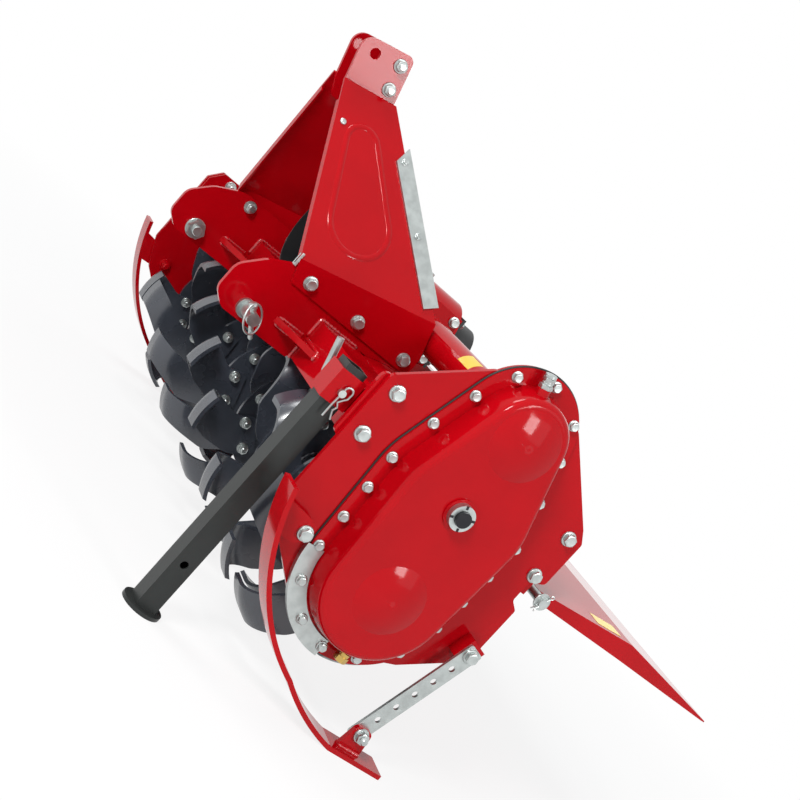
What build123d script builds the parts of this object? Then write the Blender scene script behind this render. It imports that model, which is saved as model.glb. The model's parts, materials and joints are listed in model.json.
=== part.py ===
"""Gear-driven rotary tiller for a compact tractor's three-point hitch.

Millimetres. +X is the gear-case side, -Y the front (hitch) and +Z up. The
pieces are drawn with x = 0 on the machine's centre plane, y = 0 on the rotor's
axis and z = 0 on the ground, then moved together so that the origin is the
middle of the bottom of the whole machine's box.
"""
from build123d import *
import math
import os

# ---- main frame ---------------------------------------------------------------
INNER_WIDTH = 1232.0          # between the side plates
SIDE_T = 8.0                  # side plate thickness
HOOD_T = 4.0                  # rotor hood sheet
WELD_GAP = 0.4                # left beside curved faces that are welded on
ROTOR_Z = 245.0               # rotor axis above the ground
TINE_R = 212.0                # circle swept by the tine tips
HOOD_GAP = 10.0               # tine tips to the hood's inner face

# side plate outline: y, z, corner radius
SIDE_OUTLINE = (
    (-223.0, 286.0, 10.0), (-223.0, 502.0, 14.0), (-96.0, 605.0, 20.0),
    (79.0, 615.0, 20.0), (216.0, 502.0, 10.0), (234.0, 482.0, 8.0),
    (234.0, 396.0, 8.0), (208.0, 384.0, 8.0), (208.0, 346.0, 8.0),
    (226.0, 334.0, 6.0), (226.0, 243.0, 10.0), (208.0, 210.0, 10.0),
    (125.0, 153.0, 10.0), (0.0, 106.0, 20.0), (-87.0, 136.0, 20.0),
    (-192.0, 222.0, 20.0),
)

HOOD_TOP = ROTOR_Z + TINE_R + HOOD_GAP + HOOD_T
FAR_PLATE_OVER_HOOD = 19.0    # top of the plate without the gear case
FAR_REAR_DROP = 8.0           # its rear corner stands this much lower
FAR_CORNER_CUT = (24.0, 29.0)  # y and z taken off that plate's top front corner
FAR_CORNER_R = 6.0

# ---- front beam, gussets and end flanges ----------------------------------------
BEAM_FRONT_Y = -180.0
BEAM_DROP = 12.0              # hood's top to the beam's top
BEAM_DEPTH = 81.0
BEAM_TOP_Z = HOOD_TOP - BEAM_DROP
BEAM_BOTTOM_Z = BEAM_TOP_Z - BEAM_DEPTH
BEAM_T = 6.0                  # folded plate of the beam
END_FLANGE_T = 8.0
END_FLANGE_FRONT_Y = -231.0
END_FLANGE_Z = (384.0, 501.0)
END_FLANGE_R = (12.0, 8.0)    # corners at the front and at the rear
FAR_FLANGE_BACK = 10.0        # the far flange stands this much less forward
GUSSET_ALONG = 77.0           # on the beam, from a hitch plate's face
GUSSET_FRONT = 65.0           # on the hitch plate, from the beam
GUSSET_T = 11.0
GUSSET_Z = 407.0

# ---- rear beam ------------------------------------------------------------------
REAR_BEAM_Y = (190.0, 222.0)
REAR_BEAM_Z = (362.0, 492.0)
REAR_BEAM_WALL = 4.0

# ---- hitch ------------------------------------------------------------------------
HITCH_HALF = 235.0            # centre plane to a hitch plate's outer face
HITCH_T = 10.0
HITCH_OUTLINE = (             # y, z, corner radius, before the beam is let in
    (-332.0, 372.0, 24.0), (-358.0, 394.0, 22.0), (-358.0, 444.0, 30.0),
    (-322.0, 482.0, 40.0), (-266.0, 512.0, 60.0),
    (8.0, 512.0, 8.0), (8.0, 440.0, 0.0), (-150.0, 372.0, 0.0),
)
PIN_Y = -298.0
PIN_Z = 396.0
PIN_R = 11.0                  # 22 mm lower link pin
PIN_LENGTH = 62.0
PIN_COLLAR_R = 17.0
PIN_COLLAR_T = 8.0
PIN_NUT_ACROSS = 32.0
PIN_NUT_T = 18.0

# ---- mast ---------------------------------------------------------------------------
PANEL_T = 4.0
FOOT_BOTTOM_Z = 476.0
FOOT_Y = (-268.0, 8.0)
FOOT_TUBE_GAP = 7.0           # foot plate to the drive tube
BEND_FRONT = (-283.0, 514.0)  # y, z of the panel's bend at its two ends
BEND_REAR = (-15.0, 576.0)
PANEL_TOP_FRONT = (-357.5, 786.5)
PANEL_TOP_REAR_Y = -252.0
PANEL_LIP = 9.0               # folded front edge
LIP_STOP = 0.88               # share of the front edge that is folded, from the foot
BEND_LAP = 2.5                # foot plate carried past the bend line
CLEVIS_GAP = 46.0             # for the top link's eye
CLEVIS_T = 8.0
CLEVIS_OUTLINE = (            # y, z, corner radius
    (-353.0, 784.0, 4.0), (-379.0, 868.0, 24.0), (-281.6, 895.4, 14.0),
    (-253.0, 802.0, 4.0), (-270.0, 762.0, 4.0), (-335.0, 752.0, 4.0),
)
TOP_HOLE = (-343.0, 853.5)    # y, z of the top link hole
TOP_HOLE_R = 9.7
CLEVIS_SPACERS = ((-294.0, 868.0), (-282.0, 825.0))
SPACER_R = 9.0
STRIP_W = 32.0                # zinc strip along the panel's rear edge
STRIP_T = 4.0
STRIP_START = 0.20            # share of the rear edge, from the top
STRIP_END = 0.93
STRIP_OVERHANG = 10.0
STRIP_SLANT = 22.0            # how far the strip's top end is cut back

# ---- gear case -------------------------------------------------------------------------
GEAR_2_UP = 160.0             # the middle gear over the rotor's axis
GEAR_3_UP = 303.0             # and the upper one
# gears in the case: y, z, radius of the bolt circle around each
CASE_GEARS = ((0.0, ROTOR_Z, 128.0), (0.0, ROTOR_Z + GEAR_2_UP, 137.0), (-7.0, ROTOR_Z + GEAR_3_UP, 93.0))
CASE_EDGE = 12.0              # bolt line to the flange's edge
CASE_WALL_IN = 13.0           # bolt line to the foot of the pressed wall
GASKET_T = 1.5
CASE_FLANGE_T = 5.0
CASE_DEPTH = 44.0             # flange face to the cover's flat front
CASE_SHEET = 4.0
CASE_TAPER = 10.0             # degrees
CASE_RIM_R = 12.0
DOME_R = 58.0
DOME_H = 11.0
CASE_BOLTS = (                # y, z
    (-129.0, 242.0), (-131.0, 298.0), (-134.0, 354.0), (-137.0, 410.0), (-124.0, 486.0),
    (-102.0, 555.0), (-71.0, 615.0), (-9.0, 641.0), (61.0, 615.0), (88.0, 560.0),
    (112.0, 492.0), (137.0, 414.0), (134.0, 354.0), (131.0, 298.0), (128.0, 242.0),
    (108.0, 176.0), (56.0, 130.0), (-8.0, 117.0), (-67.0, 136.0), (-113.0, 185.0),
)
CASE_RECESS_R = 16.4          # room for a socket, let into the wall at each bolt
IDLER_UP = 165.0              # the idler's shaft over the rotor's axis
IDLER = (-13.0, ROTOR_Z + IDLER_UP)
IDLER_HUB_R = 26.0
IDLER_NUT_R = 21.0
IDLER_SHAFT_R = 13.0
WEAR_T = 3.0
WEAR_CLEAR = 1.0              # between the plate and the cover's wall
WEAR_SKIRT_GAP = 3.0          # between the skirt and the flange's edge
WEAR_ANGLES = (183.0, 268.0)  # from +Y towards +Z, round the rotor's axis
GEAR_BLOCK_T = 26.0
GEAR_BLOCK_IN = 26.0          # cover's wall to the gears
HUB_T = 3.0
IDLER_NUT_T = 11.0
IDLER_SHAFT_T = 17.0
THREAD_CLEAR = 0.5
TAP_DEPTH = 30.0
TAP_CLEAR = 0.05              # radial, around the breather and the drain plug
BREATHER_SHARE = 0.4          # of the case's depth
BREATHER_LEAN = 18.0          # degrees forward of upright, round the upper gear
BREATHER_R = 7.5
BREATHER_H = 26.0
DRAIN_Y = 22.0
DRAIN_R = 9.0
DRAIN_H = 12.0

# ---- gearbox and drive --------------------------------------------------------------------
DRIVE_Y = 32.0                # cross shaft, behind the mast's feet
BOX_R = 74.0
BED_T = 8.0
DRIVE_Z = HOOD_TOP + WELD_GAP + BED_T + BOX_R
BOX_Y = (-60.0, 122.0)
BOX_BOSS = 18.0               # blind side of the casting
BOX_SIDE = 104.0              # centre plane to the cross neck's end
NECK_R = 50.0
TUBE_FLANGE = 112.0           # square flange, side length
TUBE_FLANGE_T = 14.0
BED_Y = (-84.0, 6.0)
BOX_BASE = (150.0, 84.0)      # foot of the casting: x size, y size
BOX_BASE_T = 16.0
DRIVE_TUBE_R = 32.0
DRIVE_TUBE_WALL = 4.0
PLATE_FLANGE_R = 62.0
PLATE_FLANGE_T = 10.0
INPUT_NECK_R = 44.0
INPUT_NECK_Y = -112.0
PTO_R = 17.4                  # 1 3/8 in shaft
PTO_JOURNAL_R = 20.0          # inside the input neck
PTO_SHOULDER = 2.0            # how far the journal stands out of the neck
PTO_STUB = 76.0               # splined length in front of the shoulder
PTO_SEAT_Y = -60.0
SHIELD_R = 92.0
SHIELD_FRONT_Y = -200.0
SHIELD_T = 3.0
SHIELD_HOLE_GAP = 4.0         # journal to the edge of the shield's hole
SEAT_GAP = 1.0
RUN_CLEAR = 0.05              # radial clearance of a running fit
CAP_FLANGE = 118.0
CAP_FLANGE_T = 6.0
CAP_WALL = 3.0
CAP_R = 50.0
CAP_LENGTH = 62.0

# ---- rotor -----------------------------------------------------------------------------------
ROTOR_TUBE_R = 36.0
ROTOR_END_GAP = 34.0          # side plate to the end of the rotor tube
STUB_R = 20.0
STUB_RECESS = 3.0             # the shaft's ends stay inside their bores
HOUSING_R = 58.0
HOUSING_T = 24.0
DISC_R = 116.0
DISC_T = 8.0
DISC_COUNT = 8
DISC_END_GAP = 56.0           # side plate to the outer disc's centre
TINES_PER_DISC = 6
TINE_T = 7.0
TINE_REACH = 72.0             # how far a tine's wing stands off the disc
TINE_BEND_R = 42.0
WING_R = 130.0                # the wing's own curve
WING_AXIS_DROP = 127.0        # tip circle to the centre of that curve
FAR_HAND_LAG = 17.0           # degrees more sweep in the tines bent to the far side
ROW_PHASE = 1.0               # degrees, first disc
ROW_TWIST = 16.0              # degrees from one disc to the next
TINE_OUTLINE = (              # behind the tine's middle line, from the axis, corner radius
    (-36.0, 72.0, 8.0), (36.0, 72.0, 8.0), (38.0, 112.0, 30.0), (103.0, 169.0, 0.0),
    (190.0, 247.0, 0.0), (95.0, 258.0, 0.0), (45.0, 207.0, 0.0), (-4.0, 170.0, 40.0),
    (-38.0, 122.0, 50.0),
)

# ---- skids ------------------------------------------------------------------------------------
SKID_T = 8.0
SKID_W = 50.0
SKID_GAP = 8.0                # spacer between side plate and skid lug
SKID_ARC = ((-247.0, 298.0), (-150.0, 134.0), (-40.0, 58.0))
SKID_SOLE_ARC = (26.0, 22.0)
SKID_FLAT_Y = (96.0, 208.0)
SKID_BOLT = (-165.0, 247.0)
LUG_T = 8.0
REAR_LUG = (140.0, 40.0)
ADJUST_TOP = (198.0, 240.0)
ADJUST_W = 32.0
ADJUST_T = 5.0
ADJUST_END = 14.0             # strip past its end bolts
ADJUST_CORNER_R = 5.0
ADJUST_HOLE_R = 5.5
ADJUST_HOLES = 5
BRACKET_L = 40.0
BRACKET_W = 34.0
BRACKET_T = 5.0
SPACER_BOSS_R = 14.0
FRONT_LUG = (                 # y and z off the skid bolt, corner radius
    (-73.0, 31.0, 0.0), (-4.0, 22.0, 12.0), (20.0, 0.0, 14.0), (-4.0, -22.0, 12.0), (-51.0, -25.0, 0.0),
)
REAR_LUG_X = 22.0             # skid's inner edge to its rear lug
REAR_LUG_HALF = (24.0, 16.0)  # half width at its foot and at its head
REAR_LUG_OVER = 12.0          # above its bolt
REAR_LUG_R = 10.0

# ---- parking stand --------------------------------------------------------------------------------
STAND_X = 576.0
STAND_TUBE = 36.0
STAND_WALL = 3.0
STAND_LENGTH = 474.0
STAND_CLEAR = 0.5             # tube to collar, each side
COLLAR_T = 5.0
COLLAR_Z = (412.0, 464.0)
FOOT_R = 34.0
FOOT_T = 6.0
STAND_TINE_GAP = 6.0          # foot to the tine circle
STAND_TRAVEL = 340.0
STAND_PIN_R = 6.0
STAND_PIN_Z = 434.0
STAND_HOLE_R = 6.5
COLLAR_WEB_T = 12.0
COLLAR_WEB_DROP = 8.0
LEG_FLOOR = 4.0               # closed foot of the tube
PIN_REACH = 38.0              # handle's bend off the collar
PIN_HANDLE = 54.0
PIN_LEAN = 17.0               # degrees, forward
PIN_TIP = 7.0

# ---- rear deflector ----------------------------------------------------------------------------------
HINGE = (249.0, 372.0)
HINGE_ROD_R = 8.0
KNUCKLE_R = 13.0
LUG_X = (-520.0, 0.0, 520.0)
LUG_PLATE_T = 10.0
LUG_SLOT = 5.0                # room round a lug in the deflector's edge
DEFLECTOR_T = 3.0
DEFLECTOR_HALF = 606.0
DEFLECTOR_BEND = (475.0, 402.0)
DEFLECTOR_EDGE = (722.0, 373.0)
WING_DEPTH = 34.0
WING_START = (20.0, 8.0)      # wing's upper front corner, off the hinge
WING_FOOT = (26.0, -8.0)      # and its lower one
WING_TIP = 6.0
ROD_OVERHANG = 20.0

PTO_SHOULDER_Y = INPUT_NECK_Y - PTO_SHOULDER
PTO_END_Y = PTO_SHOULDER_Y - PTO_STUB
PLATE_X = INNER_WIDTH / 2                 # inner face of a side plate
SIDE_X = PLATE_X + SIDE_T                 # outer face of a side plate
HOOD_R = TINE_R + HOOD_GAP                # inner radius of the hood
HOOD_OUT = HOOD_R + HOOD_T
STAND_Y = -(TINE_R + STAND_TINE_GAP + FOOT_R)

nodes = {}


def outline_face(rows):
    """Closed 2-D face from rows of (u, v, corner radius)."""
    face = make_face(Polyline(*[(u, v) for u, v, _ in rows], close=True))
    for u, v, radius in rows:
        if radius:
            corner = face.vertices().sort_by_distance((u, v, 0))[0]
            face = fillet(corner, radius)
    return face


def across(face, x0, x1):
    """Extrude a face drawn in (y, z) from x0 to x1."""
    return extrude(Plane.YZ.offset(x0) * face, amount=x1 - x0, dir=(1, 0, 0))


def rectangle(ys, zs):
    """Flat rectangle between two y values and two z values."""
    (y0, y1), (z0, z1) = ys, zs
    return Pos((y0 + y1) / 2, (z0 + z1) / 2) * Rectangle(y1 - y0, z1 - z0)


def block(xs, ys, zs):
    """Box between two limits on each axis."""
    size = [b - a for a, b in (xs, ys, zs)]
    middle = [(a + b) / 2 for a, b in (xs, ys, zs)]
    return Pos(*middle) * Box(*size)


def square_block(mid, side, zs):
    """Upright square prism round a point of the ground plan."""
    x, y = mid
    return block((x - side / 2, x + side / 2), (y - side / 2, y + side / 2), zs)


def rod_x(x0, x1, y, z, radius):
    return Pos((x0 + x1) / 2, y, z) * Rot(0, 90, 0) * Cylinder(radius, x1 - x0)


def rod_y(y0, y1, x, z, radius):
    return Pos(x, (y0 + y1) / 2, z) * Rot(90, 0, 0) * Cylinder(radius, y1 - y0)


def rod_z(z0, z1, x, y, radius):
    return Pos(x, y, (z0 + z1) / 2) * Cylinder(radius, z1 - z0)


def hex_x(x0, x1, y, z, width):
    """Hexagonal bar along X, by its width across the flats."""
    return across(Pos(y, z) * RegularPolygon(width / 2, 6, major_radius=False), x0, x1)


def mirrored(shape):
    """Copy on the other side of the machine's centre plane."""
    return mirror(shape, about=Plane.YZ)


def case_face(grow):
    """Outline that runs round the gear circles like a belt, grown past the bolt line."""
    low, mid, high = [(Vector(y, z), r + grow) for y, z, r in CASE_GEARS]
    loop = [low, mid, high, mid]
    normals = []
    for k, (centre, radius) in enumerate(loop):
        after, after_r = loop[(k + 1) % len(loop)]
        run = after - centre
        ahead = run.normalized()
        right = Vector(ahead.Y, -ahead.X)
        lean = (radius - after_r) / run.length
        normals.append(ahead * lean + right * math.sqrt(1 - lean ** 2))
    edges = []
    for k, (centre, radius) in enumerate(loop):
        first = math.atan2(normals[k - 1].Y, normals[k - 1].X)
        last = math.atan2(normals[k].Y, normals[k].X)
        sweep = (last - first) % (2 * math.pi)
        half_way = first + sweep / 2
        start = centre + normals[k - 1] * radius
        end = centre + normals[k] * radius
        top = centre + Vector(math.cos(half_way), math.sin(half_way)) * radius
        edges.append(ThreePointArc(start, top, end))
        after, after_r = loop[(k + 1) % len(loop)]
        edges.append(Line(end, after + normals[k] * after_r))
    return make_face(Curve() + edges)


def case_form(grow, x0, x1):
    """Solid with drafted walls on the belt outline, from x0 to x1."""
    draft = (x1 - x0) * math.tan(math.radians(CASE_TAPER))
    foot = Plane.YZ.offset(x0) * case_face(grow)
    top = Plane.YZ.offset(x1) * case_face(grow - draft)
    return loft([foot, top], ruled=True)


def dome(radius, height):
    """Shallow round dome that rises along +X from a 1 mm root below x = 0."""
    ball_r = (radius ** 2 + height ** 2) / (2 * height)
    half = math.asin(radius / ball_r) / 2
    middle = (height - ball_r * (1 - math.cos(half)), ball_r * math.sin(half))
    rim = ThreePointArc((0, radius), middle, (height, 0))
    sides = Polyline((height, 0), (-1, 0), (-1, radius), (0, radius))
    return revolve(make_face(rim + sides), Axis.X, 360)


def side_plates():
    octagon = outline_face(SIDE_OUTLINE)
    shaft_hole = rod_x(-SIDE_X - 1, SIDE_X + 1, 0, ROTOR_Z, STUB_R + 1)
    gear_side = octagon + case_face(CASE_EDGE)
    nodes["side_plate_gear"] = across(gear_side, PLATE_X, SIDE_X) - shaft_hole
    far_top = HOOD_TOP + FAR_PLATE_OVER_HOOD
    top_y, _, top_r = SIDE_OUTLINE[4]
    edge_y, _, edge_r = SIDE_OUTLINE[5]
    rear_corner = [(top_y, far_top, top_r), (edge_y, far_top - FAR_REAR_DROP, edge_r)]
    far_rows = [SIDE_OUTLINE[0], *cut_corner(SIDE_OUTLINE[0][0], far_top), *rear_corner, *SIDE_OUTLINE[6:]]
    nodes["side_plate_far"] = across(outline_face(far_rows), -SIDE_X, -PLATE_X) - shaft_hole


def cut_corner(front_y, top_z):
    """Rows of the far plate's top front corner, with the corner cut off."""
    cut_y, cut_z = FAR_CORNER_CUT
    return [(front_y, top_z - cut_z, FAR_CORNER_R), (front_y + cut_y, top_z, FAR_CORNER_R)]


def beams():
    end = PLATE_X - END_FLANGE_T
    top_rear = -math.sqrt(HOOD_OUT ** 2 - (BEAM_TOP_Z - BEAM_T - ROTOR_Z) ** 2) - WELD_GAP
    front = block((-end, end), (BEAM_FRONT_Y, BEAM_FRONT_Y + BEAM_T), (BEAM_BOTTOM_Z, BEAM_TOP_Z))
    top = block((-end, end), (BEAM_FRONT_Y, top_rear), (BEAM_TOP_Z - BEAM_T, BEAM_TOP_Z))
    low, high = END_FLANGE_Z
    front_r, rear_r = END_FLANGE_R
    far_high = HOOD_TOP + FAR_PLATE_OVER_HOOD
    far_front = END_FLANGE_FRONT_Y + FAR_FLANGE_BACK
    arch = Pos(0, ROTOR_Z) * Circle(HOOD_OUT + WELD_GAP)
    near_flange = outline_face([
        (END_FLANGE_FRONT_Y, low, front_r), (END_FLANGE_FRONT_Y, high, front_r),
        (top_rear, high, rear_r), (top_rear, low, 0.0),
    ]) - arch
    far_flange = outline_face([
        (far_front, low, front_r), *cut_corner(far_front, far_high),
        (top_rear, far_high, rear_r), (top_rear, low, 0.0),
    ]) - arch
    nodes["front_beam"] = (front + top + across(near_flange, end, PLATE_X)
                           + across(far_flange, -PLATE_X, -end))
    nodes["hitch_gussets"] = gussets()
    outer = block((-PLATE_X, PLATE_X), REAR_BEAM_Y, REAR_BEAM_Z)
    wall = REAR_BEAM_WALL
    inner = block((-PLATE_X + wall, PLATE_X - wall),
                  (REAR_BEAM_Y[0] + wall, REAR_BEAM_Y[1] - wall),
                  (REAR_BEAM_Z[0] + wall, REAR_BEAM_Z[1] - wall))
    rear = outer - inner
    lug = outline_face([
        (REAR_BEAM_Y[1], HINGE[1] - KNUCKLE_R, 0.0), (REAR_BEAM_Y[1], HINGE[1] + KNUCKLE_R + 10, 0.0),
        (HINGE[0], HINGE[1] + KNUCKLE_R, 0.0), (HINGE[0], HINGE[1] - KNUCKLE_R, 0.0),
    ]) + Pos(*HINGE) * Circle(KNUCKLE_R) - Pos(*HINGE) * Circle(HINGE_ROD_R + RUN_CLEAR)
    for x in LUG_X:
        rear += across(lug, x - LUG_PLATE_T / 2, x + LUG_PLATE_T / 2)
    nodes["rear_beam"] = rear


def gussets():
    """Flat braces from both faces of each hitch plate to the front of the beam."""
    rows = [(0, 0), (GUSSET_ALONG, 0), (0, -GUSSET_FRONT)]
    wedge = make_face(Polyline(*rows, close=True))
    brace = extrude(Pos(HITCH_HALF, BEAM_FRONT_Y, GUSSET_Z) * wedge, GUSSET_T)
    inner = mirror(brace, about=Plane.YZ.offset(HITCH_HALF - HITCH_T / 2))
    pair = [brace.solid(), inner.solid()]
    return Compound(pair + [mirrored(one).solid() for one in pair])


def hood():
    front_angle = 180 - math.degrees(math.acos(-(BEAM_FRONT_Y + BEAM_T) / HOOD_OUT))
    rear_angle = math.degrees(math.acos(REAR_BEAM_Y[0] / HOOD_OUT))
    sheet = across(Pos(0, ROTOR_Z) * (Circle(HOOD_OUT) - Circle(HOOD_R)), -PLATE_X, PLATE_X)
    above = block((-PLATE_X - 1, PLATE_X + 1),
                  (BEAM_FRONT_Y + BEAM_T, REAR_BEAM_Y[0]),
                  (ROTOR_Z + HOOD_OUT * math.sin(math.radians(min(180 - front_angle, rear_angle))),
                   ROTOR_Z + HOOD_OUT + 1))
    return sheet & above


def hitch():
    """Hitch plates with their notch for the beam, and the lower link pins."""
    face = outline_face(HITCH_OUTLINE)
    face -= Pos(0, ROTOR_Z) * Circle(HOOD_OUT + WELD_GAP)
    notch_y = (BEAM_FRONT_Y, 0)
    face -= rectangle(notch_y, (ROTOR_Z, BEAM_TOP_Z))
    plate = across(face, HITCH_HALF - HITCH_T, HITCH_HALF)
    nodes["hitch_plate_gear"] = plate
    nodes["hitch_plate_far"] = mirrored(plate)
    inner = HITCH_HALF - HITCH_T
    pin = rod_x(HITCH_HALF, HITCH_HALF + PIN_LENGTH, PIN_Y, PIN_Z, PIN_R)
    pin += rod_x(HITCH_HALF, HITCH_HALF + PIN_COLLAR_T, PIN_Y, PIN_Z, PIN_COLLAR_R)
    nut = hex_x(inner - PIN_NUT_T, inner, PIN_Y, PIN_Z, PIN_NUT_ACROSS)
    nodes["hitch_pin_gear"] = Compound([pin.solid(), nut.solid()])
    nodes["hitch_pin_far"] = mirrored(nodes["hitch_pin_gear"])


def panel_frame():
    """Plane of the gear-side mast panel's inner face, its corners and its normal."""
    bend_x = HITCH_HALF
    top_x = CLEVIS_GAP / 2 + CLEVIS_T + WELD_GAP
    a = Vector(bend_x, *BEND_FRONT)
    b = Vector(bend_x, *BEND_REAR)
    d = Vector(top_x, *PANEL_TOP_FRONT)
    normal = (b - a).cross(d - a).normalized()
    reach = (normal.X * (a.X - top_x) + normal.Y * (a.Y - PANEL_TOP_REAR_Y)) / normal.Z
    c = Vector(top_x, PANEL_TOP_REAR_Y, a.Z + reach)
    return a, b, c, d, normal


def mast():
    a, b, c, d, normal = panel_frame()
    slope = Face(Wire.make_polygon([a, b, c, d], close=True))
    panel = extrude(slope, amount=PANEL_T, dir=tuple(normal))
    tube_front = DRIVE_Y - DRIVE_TUBE_R
    foot = outline_face([
        (FOOT_Y[0], FOOT_BOTTOM_Z, 3.0), (BEND_FRONT[0], BEND_FRONT[1] + BEND_LAP, 0.0),
        (BEND_REAR[0], BEND_REAR[1] + BEND_LAP, 0.0), (tube_front - FOOT_TUBE_GAP, DRIVE_Z, 4.0),
        (FOOT_Y[1], DRIVE_Z - DRIVE_TUBE_R - FOOT_TUBE_GAP, 6.0), (FOOT_Y[1], FOOT_BOTTOM_Z, 4.0),
    ])
    foot_plate = across(foot, HITCH_HALF, HITCH_HALF + PANEL_T)
    front_edge = (d - a).normalized()
    inward = front_edge.cross(normal).normalized()
    if inward.Y < 0:
        inward = inward * -1
    lip_dir = normal * -1
    lip_top = a + (d - a) * LIP_STOP
    lip_rows = [a, lip_top, lip_top + lip_dir * PANEL_LIP, a + lip_dir * PANEL_LIP]
    lip_face = Face(Wire.make_polygon(lip_rows, close=True))
    lip = extrude(lip_face, amount=PANEL_T, dir=tuple(inward))
    nodes["mast_panel_gear"] = panel + foot_plate + lip
    nodes["mast_panel_far"] = mirrored(nodes["mast_panel_gear"])
    strip = panel_strip(b, c, normal)
    nodes["mast_strip_gear"] = strip
    nodes["mast_strip_far"] = mirrored(strip)
    plate = across(outline_face(CLEVIS_OUTLINE) - Pos(*TOP_HOLE) * Circle(TOP_HOLE_R),
                   CLEVIS_GAP / 2, CLEVIS_GAP / 2 + CLEVIS_T)
    clevis = plate + mirrored(plate)
    for y, z in CLEVIS_SPACERS:
        clevis += rod_x(-CLEVIS_GAP / 2 - 1, CLEVIS_GAP / 2 + 1, y, z, SPACER_R)
    nodes["mast_clevis"] = clevis


def panel_strip(b, c, normal):
    """Flat strip on the outside of a panel, along its rear edge."""
    rear_edge = b - c
    side = rear_edge.normalized()
    outward = normal.cross(side).normalized()
    if outward.Y < 0:
        outward = outward * -1
    face_lift = normal * PANEL_T
    outer_edge = outward * STRIP_OVERHANG
    inner_edge = outward * (STRIP_OVERHANG - STRIP_W)
    start = c + rear_edge * STRIP_START + face_lift
    end = c + rear_edge * STRIP_END + face_lift
    rows = [start + outer_edge, end + outer_edge, end + inner_edge, start + inner_edge + side * STRIP_SLANT]
    face = Face(Wire.make_polygon(rows, close=True))
    return extrude(face, amount=STRIP_T, dir=tuple(normal))


def gear_case():
    face0 = SIDE_X + GASKET_T
    face1 = face0 + CASE_FLANGE_T
    front = face1 + CASE_DEPTH
    nodes["gear_case_gasket"] = across(case_face(CASE_EDGE) - case_face(-CASE_WALL_IN), SIDE_X, face0)
    outer = case_form(-CASE_WALL_IN, face0, front)
    outer = fillet(outer.faces().sort_by(Axis.X)[-1].edges(), CASE_RIM_R)
    for y, z in CASE_BOLTS:
        outer -= rod_x(face1, front + 1, y, z, CASE_RECESS_R)
    inner = case_form(-CASE_WALL_IN - CASE_SHEET, face0, front - CASE_SHEET)
    cover = across(case_face(CASE_EDGE), face0, face1) + outer
    for y, z, _ in (CASE_GEARS[0], CASE_GEARS[2]):
        cover += Pos(front, y, z) * dome(DOME_R, DOME_H)
    mid_x = face1 + CASE_DEPTH * BREATHER_SHARE
    top_y, top_z, top_r = CASE_GEARS[2]
    wall_r = top_r - CASE_WALL_IN
    lean = Pos(0, top_y, top_z) * Rot(BREATHER_LEAN, 0, 0)
    low_z = ROTOR_Z - CASE_GEARS[0][2] + CASE_WALL_IN
    tap_up = (wall_r - TAP_DEPTH, wall_r + TAP_DEPTH)
    tap_down = (low_z - TAP_DEPTH, low_z + TAP_DEPTH)
    cover -= inner
    cover -= lean * rod_z(*tap_up, mid_x, 0, BREATHER_R + TAP_CLEAR)
    cover -= rod_z(*tap_down, mid_x, DRAIN_Y, DRAIN_R + TAP_CLEAR)
    nodes["gear_case_cover"] = cover
    nodes["breather"] = lean * rod_z(wall_r - CASE_SHEET, wall_r + BREATHER_H, mid_x, 0, BREATHER_R)
    nodes["drain_plug"] = rod_z(low_z - DRAIN_H, low_z + CASE_SHEET, mid_x, DRAIN_Y, DRAIN_R)
    nodes["idler_hub"] = rod_x(front, front + HUB_T, *IDLER, IDLER_HUB_R)
    hub_face = front + HUB_T
    nut = rod_x(hub_face, hub_face + IDLER_NUT_T, *IDLER, IDLER_NUT_R)
    nodes["idler_nut"] = nut - rod_x(hub_face, hub_face + 2 * IDLER_NUT_T, *IDLER, IDLER_SHAFT_R)
    nodes["idler_shaft"] = rod_x(hub_face, hub_face + IDLER_SHAFT_T, *IDLER, IDLER_SHAFT_R - THREAD_CLEAR)
    block_face = case_face(-CASE_WALL_IN - GEAR_BLOCK_IN)
    nodes["gear_train"] = across(block_face, SIDE_X, SIDE_X + GEAR_BLOCK_T)
    nodes["wear_plate"] = wear_plate(face1)


def wear_plate(face1):
    """Plate on the lower front of the case's flange, with a skirt round the flange's edge."""
    _, _, bolt_r = CASE_GEARS[0]
    inner_r = bolt_r - CASE_WALL_IN + WEAR_CLEAR
    skirt_r = bolt_r + CASE_EDGE + WEAR_SKIRT_GAP
    outer_r = skirt_r + WEAR_T
    wedge = make_face(Polyline(*sector(2 * outer_r, WEAR_ANGLES), close=True))
    ring = (Circle(outer_r) - Circle(inner_r)) & wedge
    skirt = (Circle(outer_r) - Circle(skirt_r)) & wedge
    plate = across(Pos(0, ROTOR_Z) * ring, face1, face1 + WEAR_T)
    return plate + across(Pos(0, ROTOR_Z) * skirt, SIDE_X, face1 + WEAR_T)


def sector(radius, angles):
    """Corners of a wedge about the origin, from its first to its last angle."""
    steps = 6
    low, high = angles
    rim = [low + (high - low) * i / steps for i in range(steps + 1)]
    return [(0, 0)] + [(radius * math.cos(math.radians(g)), radius * math.sin(math.radians(g))) for g in rim]


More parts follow.
